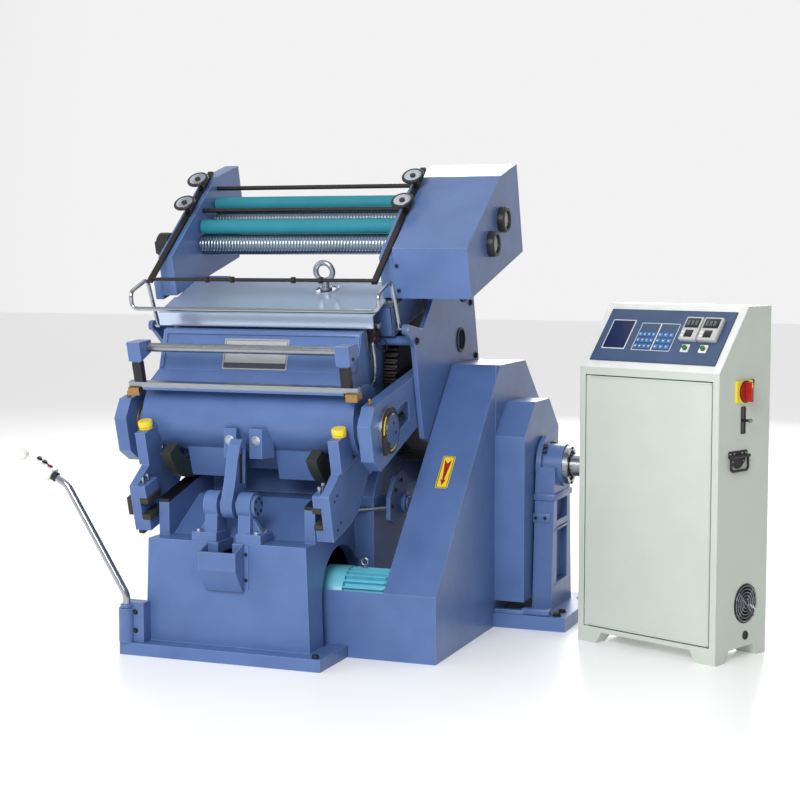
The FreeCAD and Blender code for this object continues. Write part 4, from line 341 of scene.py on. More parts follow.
def moulded(name, base, roughness, grain=900.0, depth=0.00006, coat=0.0):
    """Moulded plastic or rubber with a fine grain."""
    material, tree, shader = new_material(name)
    feed(shader, "Base Color", mottle(tree, speckle(tree, 18.0, 4.0), base, 0.3, 0.7, cloud=0.06))
    feed(shader, "Roughness", spread(tree, speckle(tree, 60.0), roughness - 0.06, roughness + 0.08))
    relief(tree, shader, speckle(tree, grain, 2.0), 0.3, depth, edge=0.0015)
    put(shader, Coat_Weight=coat, Specular_IOR_Level=0.32)
    return material


MATERIALS = {}


def make_materials():
    """Every finish of the machine, by name."""
    f = finishes()
    MATERIALS.update({
        "blue_paint": enamel("blue enamel", f.enamel, f.enamel_worn, 0.34, grain=260.0, depth=0.00025,
                             edge=sizes().edge),
        "bright_steel": metal("turned steel", (0.34, 0.37, 0.40), 0.26),
        "plate_alloy": metal("machined plate", (0.62, 0.62, 0.62), 0.35),
        "polished_tube": metal("polished tube", (0.38, 0.41, 0.44), 0.15, depth=0.00001, marked=0.12),
        "eye_paint": metal("plated eye bolt", (0.34, 0.37, 0.42), 0.34, EVEN_MARKS),
        "knurled_steel": knurled("knurled roller", (0.31, 0.37, 0.45)),
        "white_plastic": moulded("white box", (0.74, 0.74, 0.71), 0.30, coat=0.4),
        "dark_steel": metal("oiled steel", (0.055, 0.052, 0.05), 0.42, CAST_MARKS, depth=0.0002),
        "bronze": metal("cast bronze", f.bronze, 0.38, CAST_MARKS, depth=0.0002),
        "black_plastic": moulded("black plastic", (0.016, 0.016, 0.018), 0.40),
        "teal_rubber": moulded("roller rubber", f.rubber, 0.46, grain=400.0),
        "cover_steel": metal("polished cover", f.cover, 0.17, (3.0, 40.0, 40.0), depth=0.000002, edge=0.002,
                             marked=0.06, metallic=0.6),
        "olive_paint": enamel("shoe paint", (0.027, 0.031, 0.024), (0.08, 0.09, 0.07), 0.5, grain=200.0,
                              depth=0.0003, edge=0.002, coat=0.0),
        "plated": metal("plated bolts", (0.50, 0.56, 0.64), 0.34, EVEN_MARKS),
        "silver_plate": metal("bare plate", (0.40, 0.42, 0.44), 0.46, (8.0, 220.0, 220.0), depth=0.00004),
        "plate_ink": moulded("plate border", (0.05, 0.055, 0.07), 0.45),
        # Near-black glossy fill: dark slabs low in the trough, and painted shade in the opening of the
        # cabinet's lever slot
        "oil": moulded("dark glossy fill", (0.010, 0.009, 0.008), 0.16, grain=60.0, depth=0.0002, coat=0.6),
        "grille": moulded("pale grey moulding", (0.46, 0.47, 0.46), 0.45),
        "navy_glass": moulded("blue display", (0.012, 0.020, 0.075), 0.22, coat=0.3),
        "key_blue": moulded("blue keys", (0.07, 0.20, 0.46), 0.36),
        "digits": moulded("display digits", (0.10, 0.12, 0.13), 0.30),
        "cream_paint": enamel("cabinet paint", f.cream, shade_of(f.cream, 1.15), 0.42, grain=520.0,
                              depth=0.00012, edge=0.002, cloud=0.025),
        "panel_paint": enamel("panel paint", f.panel, shade_of(f.panel, 1.3), 0.40, grain=500.0,
                              depth=0.0001, edge=0.0015),
        "motor_paint": enamel("motor paint", f.motor, shade_of(f.motor, 1.3), 0.40, grain=300.0,
                              depth=0.0002, edge=0.002, coat=0.2),
        "belt_rubber": moulded("belt rubber", (0.012, 0.012, 0.012), 0.62, grain=500.0, depth=0.0002),
        "dial_steel": metal("dial steel", (0.40, 0.41, 0.43), 0.30, EVEN_MARKS),
        "red_plastic": moulded("red plastic", f.red, 0.28, coat=0.5),
        "green_plastic": moulded("green plastic", f.green, 0.26, coat=0.5),
        "chrome": metal("bright handwheel", (0.50, 0.55, 0.62), 0.22, (40.0, 40.0, 40.0), depth=0.00003),
        "yellow_paint": moulded("yellow caps", f.yellow, 0.34, grain=300.0, coat=0.3),
        "display": moulded("display glass", (0.012, 0.014, 0.016), 0.20, coat=0.3),
        "pale_border": moulded("pale border", (0.70, 0.72, 0.70), 0.40),
        "pad": moulded("jaw pad", (0.035, 0.033, 0.025), 0.55, grain=200.0, depth=0.0004),
    })


def dress_nodes():
    """Give each solid its finish."""
    for entry in frame["record"]["subparts"]:
        node = NODES[entry["node"]]
        node.data.materials.clear()
        node.data.materials.append(MATERIALS[entry["material_slot"]])


# Shapes, in millimetres apart from the rounding of edges, which is in metres

def round_turn(steps):
    """Angles of equal steps round a full turn."""
    return [2 * math.pi * k / steps for k in range(steps)]


def corners_at(bm, matrix, points):
    """New corners of a shape, carried by a matrix."""
    return [bm.verts.new(matrix @ (Vector(p) / MILLIMETRES)) for p in points]


def walls(bm, first, second):
    """Faces between two closed loops of as many corners."""
    for i in range(len(first)):
        j = (i + 1) % len(first)
        bm.faces.new((first[i], first[j], second[j], second[i]))


def soft_box(bm, low, high, edge):
    """Box between two corners, with rounded edges."""
    low = Vector(low) / MILLIMETRES
    high = Vector(high) / MILLIMETRES
    matrix = Matrix.Translation((low + high) / 2) @ Matrix.Diagonal((high - low).to_4d())
    made = bmesh.ops.create_cube(bm, size=1.0, matrix=matrix)
    edges = {e for v in made["verts"] for e in v.link_edges}
    edge = min(edge, 0.45 * min(high - low))
    bmesh.ops.bevel(bm, geom=list(edges), offset=edge, segments=2, profile=0.5, affect="EDGES")


def turned(bm, profile, matrix=None, steps=40):
    """Turned shape: (radius, height) pairs round the Z axis, closed on the axis or on itself."""
    matrix = matrix or Matrix()
    rings = []
    for radius, height in profile:
        spots = [(0, 0, height)]
        if radius >= ON_AXIS:
            spots = [(radius * math.cos(a), radius * math.sin(a), height) for a in round_turn(steps)]
        rings.append(corners_at(bm, matrix, spots))
    for first, second in zip(rings, rings[1:]):
        for i in range(steps):
            j = (i + 1) % steps
            corners = [first[i % len(first)], first[j % len(first)],
                       second[j % len(second)], second[i % len(second)]]
            face = [v for k, v in enumerate(corners) if v not in corners[:k]]
            if len(face) > 2:
                bm.faces.new(face)


def ring_profile(inner, outer, low, high, edge=1.0):
    """Profile of a ring with broken edges, closed on itself."""
    return [(inner, low + edge), (inner + edge, low), (outer - edge, low), (outer, low + edge),
            (outer, high - edge), (outer - edge, high), (inner + edge, high), (inner, high - edge),
            (inner, low + edge)]


def disc_profile(radius, low, high, edge=1.0):
    """Profile of a disc with broken edges."""
    return [(0, low), (radius - edge, low), (radius, low + edge), (radius, high - edge),
            (radius - edge, high), (0, high)]


def swept(bm, points, radius, steps):
    """Round bar through points, with closed ends."""
    points = [Vector(p) / MILLIMETRES for p in points]
    radius = radius / MILLIMETRES
    rings = []
    normal = None
    for i, point in enumerate(points):
        before = points[max(i - 1, 0)]
        after = points[min(i + 1, len(points) - 1)]
        along = (after - before).normalized()
        if normal is None:
            normal = along.orthogonal().normalized()
        normal = (normal - along * normal.dot(along)).normalized()
        side = along.cross(normal)
        rings.append([bm.verts.new(point + (normal * math.cos(a) + side * math.sin(a)) * radius)
                      for a in round_turn(steps)])
    for first, second in zip(rings, rings[1:]):
        walls(bm, first, second)
    bm.faces.new(reversed(rings[0]))
    bm.faces.new(rings[-1])


def arc(centre, radius, start, stop, steps, plane):
    """Points along an arc, in the plane of two directions."""
    first, second = (Vector(d) for d in plane)
    points = []
    for i in range(steps + 1):
        angle = math.radians(start + (stop - start) * i / steps)
        points.append(Vector(centre) + (first * math.cos(angle) + second * math.sin(angle)) * radius)
    return points


def placed(matrix, points):
    """Points carried by a matrix."""
    return [matrix @ (Vector(p) / MILLIMETRES) * MILLIMETRES for p in points]


def prism(bm, outline, low, high, matrix=None):
    """Flat plate of an outline, between two heights."""
    matrix = matrix or Matrix()
    bottom, top = (corners_at(bm, matrix, [(x, y, z) for x, y in outline]) for z in (low, high))
    bm.faces.new(list(reversed(bottom)))
    bm.faces.new(top)
    walls(bm, bottom, top)


def round_corners(low, high, radius, steps=5):
    """Outline of a rectangle with round corners."""
    outline = []
    corners = ((high[0] - radius, high[1] - radius, 0), (low[0] + radius, high[1] - radius, 90),
               (low[0] + radius, low[1] + radius, 180), (high[0] - radius, low[1] + radius, 270))
    for x, y, start in corners:
        for i in range(steps + 1):
            angle = math.radians(start + 90.0 * i / steps)
            outline.append((x + radius * math.cos(angle), y + radius * math.sin(angle)))
    return outline


def rim(bm, low, high, width, radius, bottom, top):
    """Frame of one width along a rectangle with round corners."""
    outer = round_corners(low, high, radius)
    inner = round_corners((low[0] + width, low[1] + width), (high[0] - width, high[1] - width),
                          max(radius - width, 0.3))
    loops = [corners_at(bm, Matrix(), [(x, y, z) for x, y in line])
             for line, z in ((outer, bottom), (outer, top), (inner, top), (inner, bottom))]
    for first, second in zip(loops, loops[1:] + loops[:1]):
        walls(bm, first, second)


def bolt(bm, seat, radius, height):
    """Hexagon head with a chamfered crown and a washer, standing on its seat."""
    washer = radius * 0.22
    crown = washer + height * 0.82
    top = washer + height
    turned(bm, disc_profile(radius * 1.45, 0, washer, radius * 0.08), seat, 24)
    turned(bm, [(0, washer), (radius, washer), (radius, crown), (radius * 0.86, top), (0, top)], seat, 6)


def cap_screw(bm, seat, radius, height):
    """Socket head screw with its recess."""
    recess = radius * 0.55
    floor = height * 0.45
    head = [(0, 0), (radius, 0), (radius, height * 0.85), (radius * 0.9, height), (recess, height)]
    turned(bm, head, seat, 20)
    turned(bm, [(recess, height), (radius * 0.5, floor), (0, floor)], seat, 20)


def stand(place, facing, frame_matrix=None):
    """Seat of something that stands at a place and faces along an axis."""
    matrix = moved(*place) @ FACING[facing]
    return matrix if frame_matrix is None else frame_matrix @ matrix


def both_sides(x):
    """A place to the right and its twin to the left."""
    return ((x, "+X", "right"), (-x, "-X", "left"))


def twin_seats(x, u, v):
    """Seats to the right and to the left of the press, facing outwards."""
    return [stand((x, u, v), "+X", PRESS), stand((-x, u, v), "-X", PRESS)]


def round_axis(x, middle, radius, angles):
    """Places round an axis along X."""
    return [(x, middle[0] + radius * math.cos(a), middle[1] + radius * math.sin(a)) for a in angles]


def six_angles(start):
    """Six angles round a flange."""
    return [start + 1.05 * k for k in range(6)]


# Fittings

@contextmanager
def fitting(name, finish, matrix=None, body="machine", slot=None):
    """Shape that becomes a piece riding on a body; a slot is worked out from the finish unless it is given,
    but nothing puts it on the piece.
    """
    bm = bmesh.new()
    yield bm
    if matrix is not None:
        bm.transform(matrix)
    bmesh.ops.recalc_face_normals(bm, faces=bm.faces)
    mesh = bpy.data.meshes.new(name)
    bm.to_mesh(mesh)
    bm.free()
    for face in mesh.polygons:
        face.use_smooth = True
    mesh.set_sharp_from_angle(angle=SHARP_ANGLE)
    mesh.materials.append(MATERIALS[finish])
    piece = bpy.data.objects.new(name, mesh)
    bpy.context.scene.collection.objects.link(piece)
    slot = slot or FITTING_SLOTS.get(finish, finish)
    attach(piece, body)


def blocks(name, finish, corners, edge, matrix=None, body="machine"):
    """Rounded boxes as one piece, each by its two corners."""
    with fitting(name, finish, matrix, body) as bm:
        for low, high in corners:
            soft_box(bm, low, high, edge)


def turnings(name, finish, profile, seats, steps, matrix=None, body="machine"):
    """Like turned shapes as one piece, each on its seat."""
    with fitting(name, finish, matrix, body) as bm:
        for seat in seats:
            turned(bm, profile, seat, steps)


def bars(name, finish, routes, radius, steps, matrix=None, body="machine"):
    """Round bars as one piece, each along its points."""
    with fitting(name, finish, matrix, body) as bm:
        for points in routes:
            swept(bm, points, radius, steps)


def plate(name, finish, outline, low, high, matrix, body="machine", slot=None):
    """Flat plate as a piece."""
    with fitting(name, finish, matrix, body, slot) as bm:
        prism(bm, outline, low, high)


def border(name, finish, low, high, matrix, body="machine", **shape):
    """Frame of one width as a piece."""
    with fitting(name, finish, matrix, body) as bm:
        rim(bm, low, high, **shape)


def screws(name, finish, seats, radius, height, body="machine"):
    """Like socket head screws as one piece."""
    with fitting(name, finish, body=body) as bm:
        for seat in seats:
            cap_screw(bm, seat, radius, height)


def bolts(name, places, facing, radius, matrix=None, finish="dark_steel", body="machine"):
    """Like bolts as one piece."""
    height = radius * sizes().bolt_head
    with fitting(name, finish, matrix, body) as bm:
        for place in places:
            bolt(bm, stand(place, facing), radius, height)


class PRESS_OT_fasteners(bpy.types.Operator):
    """Bolts of the base, the link, the frames, the pedestal and the motor"""
    bl_idname = "press.fasteners"
    bl_label = "Bolts"

    def execute(self, context):
        pillow_tops = [(x, y, 468) for x in (-118, 118) for y in (-506, -434)]
        link_flange = [(x, -377, 797) for x in (-54, 54)]
        frame_ties = [(332, 241), (984, 200), (997, -35)]
        arm_studs = [(u, -16) for u in (128, 155, 182, 209)]
        pedestal_foot = [(1010, y, 56) for y in (380, 455, 755, 830)]
        motor_feet = [(x, y, 68) for x in (415, 500) for y in (-302, -118)]
        drive_box = [stand((512, 294, v), "-Y", PRESS) for v in (452, 548)]
        base_foot = [stand((x, y, 46), "+Z") for x in (-380, 380) for y in (-575, 575)]
        bolts("pillow_bolts", pillow_tops, "+Z", 11, finish="plated")
        bolts("link_flange_bolts", link_flange, "-Y", 13, finish="plated", body="platen")
        bolts("pivot_cap_bolts", round_axis(107, PIVOT, 28, six_angles(0.3)), "+X", 4.6)
        for x, facing, side in both_sides(FRAME_FACE):
            bolts("frame_bolts_" + side, [(x, u, v) for u, v in frame_ties], facing, 11, PRESS)
        for x, facing, side in both_sides(ARM_NUT_FACE):
            bolts("arm_nuts_" + side, [(x, u, v) for u, v in arm_studs], facing, 11, PRESS, body="carriage")
        bolts("pedestal_bolts", pedestal_foot, "+Z", 14)
        bolts("motor_foot_bolts", motor_feet, "+Z", 9)
        screws("drive_box_screws", "black_plastic", drive_box, radius=7, height=6)
        screws("foot_screws", "dark_steel", base_foot, radius=13, height=12)
        return {"FINISHED"}


class PRESS_OT_bearing_fittings(bpy.types.Operator):
    """Seat, screws, seal and clip of the outboard bearing, and steps of its pedestal"""
    bl_idname = "press.bearing_fittings"
    bl_label = "Bearing fittings"

    def execute(self, context):
        pairs = [math.radians(90 * k + lean) for k in range(4) for lean in (38, 52)]
        housing = [stand(place, "+X") for place in round_axis(905, SHAFT, 101, pairs)]
        screws("bearing_screws", "black_plastic", housing, radius=8, height=14)
        turnings("bearing_seal", "black_plastic", ring_profile(46, 61.5, 0, 12),
                 [stand((983, *SHAFT), "+X")], steps=64)
        turnings("bearing_felt", "bronze", ring_profile(45.3, 49, 0, 4, 0.6), [stand((995.2, *SHAFT), "+X")],
                 steps=64)
        bolts("bearing_cap_bolts", round_axis(1005, SHAFT, 70, six_angles(0.5)), "+X", 4.5)
        blocks("bearing_seat", "blue_paint", [((880, 476, 500), (973, 734, 528))], edge=0.004)
        blocks("casing_clip", "blue_paint", [((880, 473, 412), (951, 480, 448))], edge=0.0015)
        bolts("casing_clip_bolts", [(x, 473, 430) for x in (892, 930)], "-Y", 5)
        ribs = [((936, 495, low), (967, 715, low + 10)) for low in (152, 375)]
        blocks("column_ribs", "blue_paint", ribs, edge=0.002)
        with fitting("pedestal_steps", "blue_paint") as bm:
            soft_box(bm, (757.5, 345, 55.5), (881, 372, 74), edge=0.003)
            soft_box(bm, (870, 352, 55.5), (985, 392, 82), edge=0.005)
        return {"FINISHED"}


class PRESS_OT_hook_fittings(bpy.types.Operator):
    """Pads in the hooks' jaws, oil caps, studs, dowel ends and heels, and sleeves of the rest posts"""
    bl_idname = "press.hook_fittings"
    bl_label = "Hook fittings"

    def execute(self, context):
        pads = [((336, -318, low), (371, -214, high)) for low, high in ((-277.5, -256), (-212, -190.5))]
        cap = [(0, 28), (27, 28), (27, 30), (25.5, 31), (25.5, 34), (28, 36), (28.5, 55), (26.5, 58),
               (0, 59)]
        stud = [(0, -143), (5.5, -143), (5.5, -127), (8, -126), (8.5, -120), (6, -115), (0, -114)]
        dowel = disc_profile(6, 0, 1.0, 0.3)
        dowels = [(408, u, v) for u, v in ((-270, -180), (-242, -168), (-270, -292), (-236, -276))]
        heel = [(-140.5, -320.5), (-58, -302), (64, -206), (-92, -270)]
        for sign, side in ((1, "right"), (-1, "left")):
            hook = PRESS @ mirrored(x=sign)
            blocks("jaw_pads_" + side, "pad", pads, edge=0.002, matrix=hook, body="platen")
            turnings("oil_cap_" + side, "yellow_paint", cap, [moved(400, -147, 0)], 10, hook, body="platen")
            turnings("jaw_studs_" + side, "bright_steel", stud, [moved(362, u, 0) for u in (-288, -252)], 20,
                     hook, body="platen")
            turnings("dowel_ends_" + side, "dark_steel", dowel,
                     [stand(place, "+X", hook) for place in dowels], 20, body="platen")
            plate("hook_heel_" + side, "blue_paint", heel, 376.5, 407.5, hook @ SIDEWAYS, body="platen")
        blocks("left_jaw_block", "pad",
               [((-438, -302, -268), (-407.5, -238, -196)), ((-404, -306, -342), (-380, -262, -320.5))],
               edge=0.004, matrix=PRESS, body="platen")
        sleeves = [((x - 19, -106, 198.2), (x + 19, -76, 276)) for x in (-427, 427)]
        blocks("rest_post_sleeves", "black_plastic", sleeves, edge=0.003, matrix=PRESS, body="platen")
        screws("rest_screws", "black_plastic", twin_seats(REST_FACE, -75, 300), radius=7, height=4,
               body="platen")
        return {"FINISHED"}


class PRESS_OT_link_fittings(bpy.types.Operator):
    """Studs in the slotted link, its pivot's nipple, and dark glossy slabs low in the trough below it"""
    bl_idname = "press.link_fittings"
    bl_label = "Link fittings"

    def execute(self, context):
        stud = [(0, 641), (5, 641), (5, 748), (4, 752), (0, 752)]
        turnings("link_studs", "dark_steel", stud, [moved(x, y, 0) for y in (-440, -424) for x in (-13, 13)],
                 steps=16, body="slotted_link_body")
        # Two dark glossy slabs low in the trough, which make the trough look dark inside
        blocks("trough_dark_fill", "oil",
               [((-68.5, -593, 372), (68.5, -532, 380)), ((-29.5, -526, 380.2), (29.5, -401, 386))],
               edge=0.001)
        flanges = [((low, -530, 262), (high, -524.5, 428)) for low, high in ((75.2, 92), (-92, -75.2))]
        blocks("trough_flanges", "blue_paint", flanges, edge=0.002)
        bolts("trough_bolts", [(x, -530, z) for x in (-84, 84) for z in (300, 396)], "-Y", 5)
        turnings("pivot_nipple", "bright_steel", disc_profile(13, 0, 8, 2), [stand((-107, *PIVOT), "-X")],
                 steps=24)
        return {"FINISHED"}


class PRESS_OT_trunnion_fittings(bpy.types.Operator):
    """Thrust rings, dials and clamps on the trunnion, and window rims and oilers of the arms"""
    bl_idname = "press.trunnion_fittings"
    bl_label = "Trunnion fittings"

    def execute(self, context):
        for x, facing, side in both_sides(THRUST_FACE):
            turnings("thrust_ring_" + side, "bronze", ring_profile(46, 86, 0, 5),
                     [stand((x, 0, 0), facing, PRESS)], steps=56, body="carriage")
        stud_height, stud_circle = 4.5, 84
        mark_height, mark_circle = 3.4, 74
        jaw_width, foot_width = 14, 18
        for x, facing, side in both_sides(DIAL_FACE):
            out = math.copysign(1.0, x)
            with fitting("dial_rim_" + side, "black_plastic", body="carriage") as bm:
                turned(bm, ring_profile(65, 87.5, 0, 5, 1.2), stand((x, 0, 0), facing, PRESS), 72)
                for spot in round_axis(x + out * stud_height, (0, 0), stud_circle, round_turn(36)):
                    turned(bm, disc_profile(2.6, 0, 2.2, 0.5), stand(spot, facing, PRESS), 8)
            middle = (x + out * mark_height, 0, 0)
            marks = [arc(middle, mark_circle, start, stop, 18, ((0, 1, 0), (0, 0, 1)))
                     for start, stop in ((118, 205), (250, 310))]
            bars("dial_marks_" + side, "yellow_paint", [placed(PRESS, mark) for mark in marks], radius=4.2,
                 steps=10, body="carriage")
            jaw_low, jaw_high = sorted((x, x + out * jaw_width))
            foot_low, foot_high = sorted((x, x + out * foot_width))
            clamp = [((jaw_low, -92, -66), (jaw_high, -62, 8)),
                     ((foot_low, -66, -48), (foot_high, -46, -28))]
            blocks("dial_clamp_" + side, "black_plastic", clamp, edge=0.003, matrix=PRESS, body="carriage")
        dished = [(0, 0), (50, 0), (53, 1.2), (60, 1.6), (62.5, 3), (0, 3.0)]
        hole = disc_profile(6.5, 2.6, 4.0, 0.4)
        for x, facing, side in both_sides(DIAL_PLATE_FACE):
            turnings("dial_plate_" + side, "polished_tube", dished, [stand((x, 0, 0), facing, PRESS)],
                     steps=64, body="carriage")
            # Painted shade: black discs on the dial plate stand in for the shaded insides of its two holes
            turnings("dial_holes_" + side, "black_plastic", hole,
                     [stand((x, u, v), facing, PRESS) for u, v in ((14, 26), (24, -16))], steps=20,
                     body="carriage")
        for x, _, side in both_sides(ARM_FACE):
            window = PRESS @ moved(x, 0, 0) @ SIDEWAYS @ mirrored(z=math.copysign(1.0, x))
            border("arm_window_" + side, "blue_paint", (100, -48), (240, 48), window, width=9, radius=30,
                   bottom=-1.0, top=2.2, body="carriage")
        blocks("left_dial_lock", "black_plastic", [((-580, -50, -52), (-549, -4, 20))], edge=0.005,
               matrix=PRESS, body="carriage")
        oiler = [(0, 0), (8, 0), (8, 10), (5, 12), (5, 22), (0, 24)]
        turnings("arm_oilers", "bronze", oiler, [stand((x, -70, 126), "+Z", PRESS) for x in (500, -500)],
                 steps=18, body="carriage")
        return {"FINISHED"}


class PRESS_OT_platen_panel(bpy.types.Operator):
    """Raised frame and bare plate on the upper panel of the platen"""
    bl_idname = "press.platen_panel"
    bl_label = "Platen panel"

    def execute(self, context):
        face = PRESS @ sloping((40, 205), (121, 337))
        strips = [((-412, 138, -1), (412, 152, 7)), ((-412, 3, -1), (-394, 140, 7)),
                  ((394, 3, -1), (412, 140, 7))]
        blocks("panel_frame", "blue_paint", strips, edge=0.003, matrix=face, body="platen")
        plate("blank_plate", "silver_plate", round_corners((-145, 4), (126, 124), 5), 0.2, 1.6, face,
              body="platen")
        with fitting("blank_plate_border", "plate_ink", face, body="platen") as bm:
            rim(bm, (-140, 9), (121, 119), width=2.0, radius=4, bottom=1.4, top=2.2)
            prism(bm, round_corners((-138, 11), (119, 30), 3), 1.5, 2.0)
        rivet = [(0, 1.4), (3.4, 1.4), (3.0, 2.8), (0, 3.4)]
        turnings("blank_plate_rivets", "bright_steel", rivet,
                 [moved(x, y, 0) for x in (-139, 120) for y in (36, 113)], 16, face, body="platen")
        return {"FINISHED"}


class PRESS_OT_switchgear(bpy.types.Operator):
    """Limit switches with their metal hose beside the platen, and the lever under the right arm"""
    bl_idname = "press.switchgear"
    bl_label = "Switches and lever"

    def execute(self, context):
        with fitting("switch_bracket", "eye_paint", PRESS) as bm:
            soft_box(bm, (399.5, 192, 236), (405, 262, 338), edge=0.0015)
            soft_box(bm, (404, 236, 318), (440, 262, 338), edge=0.002)
        cases = [((405, 196, 276), (430, 222, 334)), ((405, 228, 262), (432, 256, 312)),
                 ((409, 182, 322), (426, 197, 336))]
        blocks("switch_cases", "black_plastic", cases, edge=0.002, matrix=PRESS)
        lamp = [(0, 0), (4.5, 0), (4.5, 3), (3, 4.5), (0, 5)]
        turnings("switch_lamps", "red_plastic", lamp,
                 [stand((430, 205, v), "+X", PRESS) for v in (290, 318)], steps=16)
        hose = [(417, 209, 276), (418, 207, 250), (421, 203, 220), (419, 206, 188), (416, 204, 156),
                (412, 204, 126), (402, 206, 108)]
        rings = 4
        with fitting("switch_hose", "polished_tube", PRESS) as bm:
            swept(bm, hose, radius=7, steps=14)
            for first, second in zip(hose, hose[1:]):
                for k in range(rings):
                    spot = Vector(first).lerp(Vector(second), (k + 0.5) / rings)
                    turned(bm, ring_profile(6.2, 8.4, -2.2, 2.2), moved(*spot), 16)
        lead = [(418, 242, 262), (424, 246, 240), (440, 252, 222), (452, 262, 226), (450, 268, 252),
                (430, 258, 300)]
        bars("switch_lead", "belt_rubber", [lead], radius=3, steps=10, matrix=PRESS)
        outline = [(-28, 470), (-28, 556), (34, 632), (104, 648), (168, 604), (172, 512), (112, 460),
                   (22, 450)]
        plate("lever_plate", "blue_paint", outline, 440, 456, SIDEWAYS)
        hub = [(0, 0), (40, 0), (40, 30), (37, 33), (26, 33), (26, 40), (22, 43), (0, 43)]
        with fitting("lever_hub", "blue_paint") as bm:
            turned(bm, hub, stand((438, *LEVER), "+X"), 40)
            turned(bm, disc_profile(24, 0, 40, 2), stand((399.5, *LEVER), "+X"), 32)
        bars("lever_rod", "bright_steel", [[(447, -14, 516), (322, -112, 514)]], radius=9, steps=16)
        bolts("lever_bolts", [(456, 30, 580), (456, 90, 612), (456, -6, 520)], "+X", 7)
        blocks("left_junction_box", "blue_paint", [((-536, 300, 404), (-499.5, 366, 482))], edge=0.004,
               matrix=PRESS)
        return {"FINISHED"}


class PRESS_OT_foil_fittings(bpy.types.Operator):
    """Handwheel dishes and stems, motor vents, roller collars, and rings and plugs of ports"""
    bl_idname = "press.foil_fittings"
    bl_label = "Foil unit fittings"

    def execute(self, context):
        self.handwheels()
        self.motor_vents()
        for place, middle in zip(("front", "rear"), ROLLERS):
            for x, facing, side in both_sides(COLLAR_FACE):
                turnings("roller_collar_%s_%s" % (place, side), "polished_tube", ring_profile(13, 33, 0, 5),
                         [stand((x, *middle), facing, PRESS)], steps=40, body="steel_roller_%s_body" % place)
        turnings("frame_grommets", "black_plastic", ring_profile(41, 52, -4, 5, 2.0),
                 twin_seats(FRAME_FACE, *PORT), steps=48)
        turnings("frame_port_plugs", "black_plastic", disc_profile(41.5, 0, 5), twin_seats(PLUG_FACE, *PORT),
                 steps=48)
        turnings("eye_hole_rim", "cover_steel", ring_profile(40, 50, 0, 3),
                 [PRESS @ moved(170, 390, 426.6) @ spun(7.2, "X")], steps=48)
        return {"FINISHED"}

    def handwheels(self):
        slope = math.radians(25)
        foot_u, face_u, face_v = 160, 303, 580
        foot_v = face_v - (face_u - foot_u) * math.tan(slope)
        rise = 13
        dish = [(11, 47.7), (24, 48.2), (33, 50.4), (34.6, 49.6), (33, 47.4), (24, 40.0), (11, 39.6),
                (11, 47.7)]
        hub = [(7.2, 20), (10.5, 20), (11.5, 22), (11.5, 29), (7.2, 31), (7.2, 20)]
        nut = [(0, 0), (12, 0), (12, 6), (9, 8), (7.2, 8), (7.2, 0)]
        sleeve = [(7.0, 8.5), (9.6, 8.5), (9.6, 24), (7.0, 24), (7.0, 8.5)]
        wheels = [(x, place + side, along) for x, side in ((-470, "_left"), (470, "_right"))
                  for place, along in (("front", 425), ("rear", 578))]
        for x, name, along in wheels:
            u = foot_u + along * math.cos(slope) - rise * math.sin(slope)
            v = foot_v + along * math.sin(slope) + rise * math.cos(slope)
            seat = PRESS @ moved(x, u, v) @ Matrix.Rotation(slope, 4, "X")
            body = "handwheel_%s_body" % name
            with fitting("handwheel_dish_" + name, "chrome", body=body) as bm:
                turned(bm, dish, seat, 48)
                turned(bm, hub, seat, 32)
            with fitting("stem_block_" + name, "black_plastic", seat) as bm:
                soft_box(bm, (-13, -17, -13.5), (13, 17, -0.4), edge=0.002)
                turned(bm, nut, steps=6)
            turnings("stem_sleeve_" + name, "dark_steel", sleeve, [seat], steps=24, body=body)

    def motor_vents(self):
        ring = [(50, -14), (50, 8), (47, 13), (41, 14), (36, 12), (33.5, 4), (33.5, -2)]
        grille_radius = 33.0
        slat_half, slat_pitch = 2.1, 7.2
        slats = []
        for middle in (slat_pitch * k for k in range(-4, 5)):
            half = math.sqrt(grille_radius ** 2 - middle ** 2)
            slats.append(((-half, middle - slat_half, 0.2), (half, middle + slat_half, 4.5)))
        for i, middle in enumerate(ROLLERS):
            seat = stand((810, *middle), "+X", PRESS)
            turnings("motor_vent_ring_%d" % i, "black_plastic", ring, [seat], steps=64)
            blocks("motor_vent_slats_%d" % i, "grille", slats, edge=0.0012, matrix=seat)
        with fitting("left_motor_cap", "black_plastic", stand((-546, 430, 594), "-X", PRESS)) as bm:
            turned(bm, [(50, -30), (50.6, -30), (50.6, 2), (46, 6), (0, 7)], steps=56)
            soft_box(bm, (-26, -46, 0), (26, 46, 10), edge=0.004)


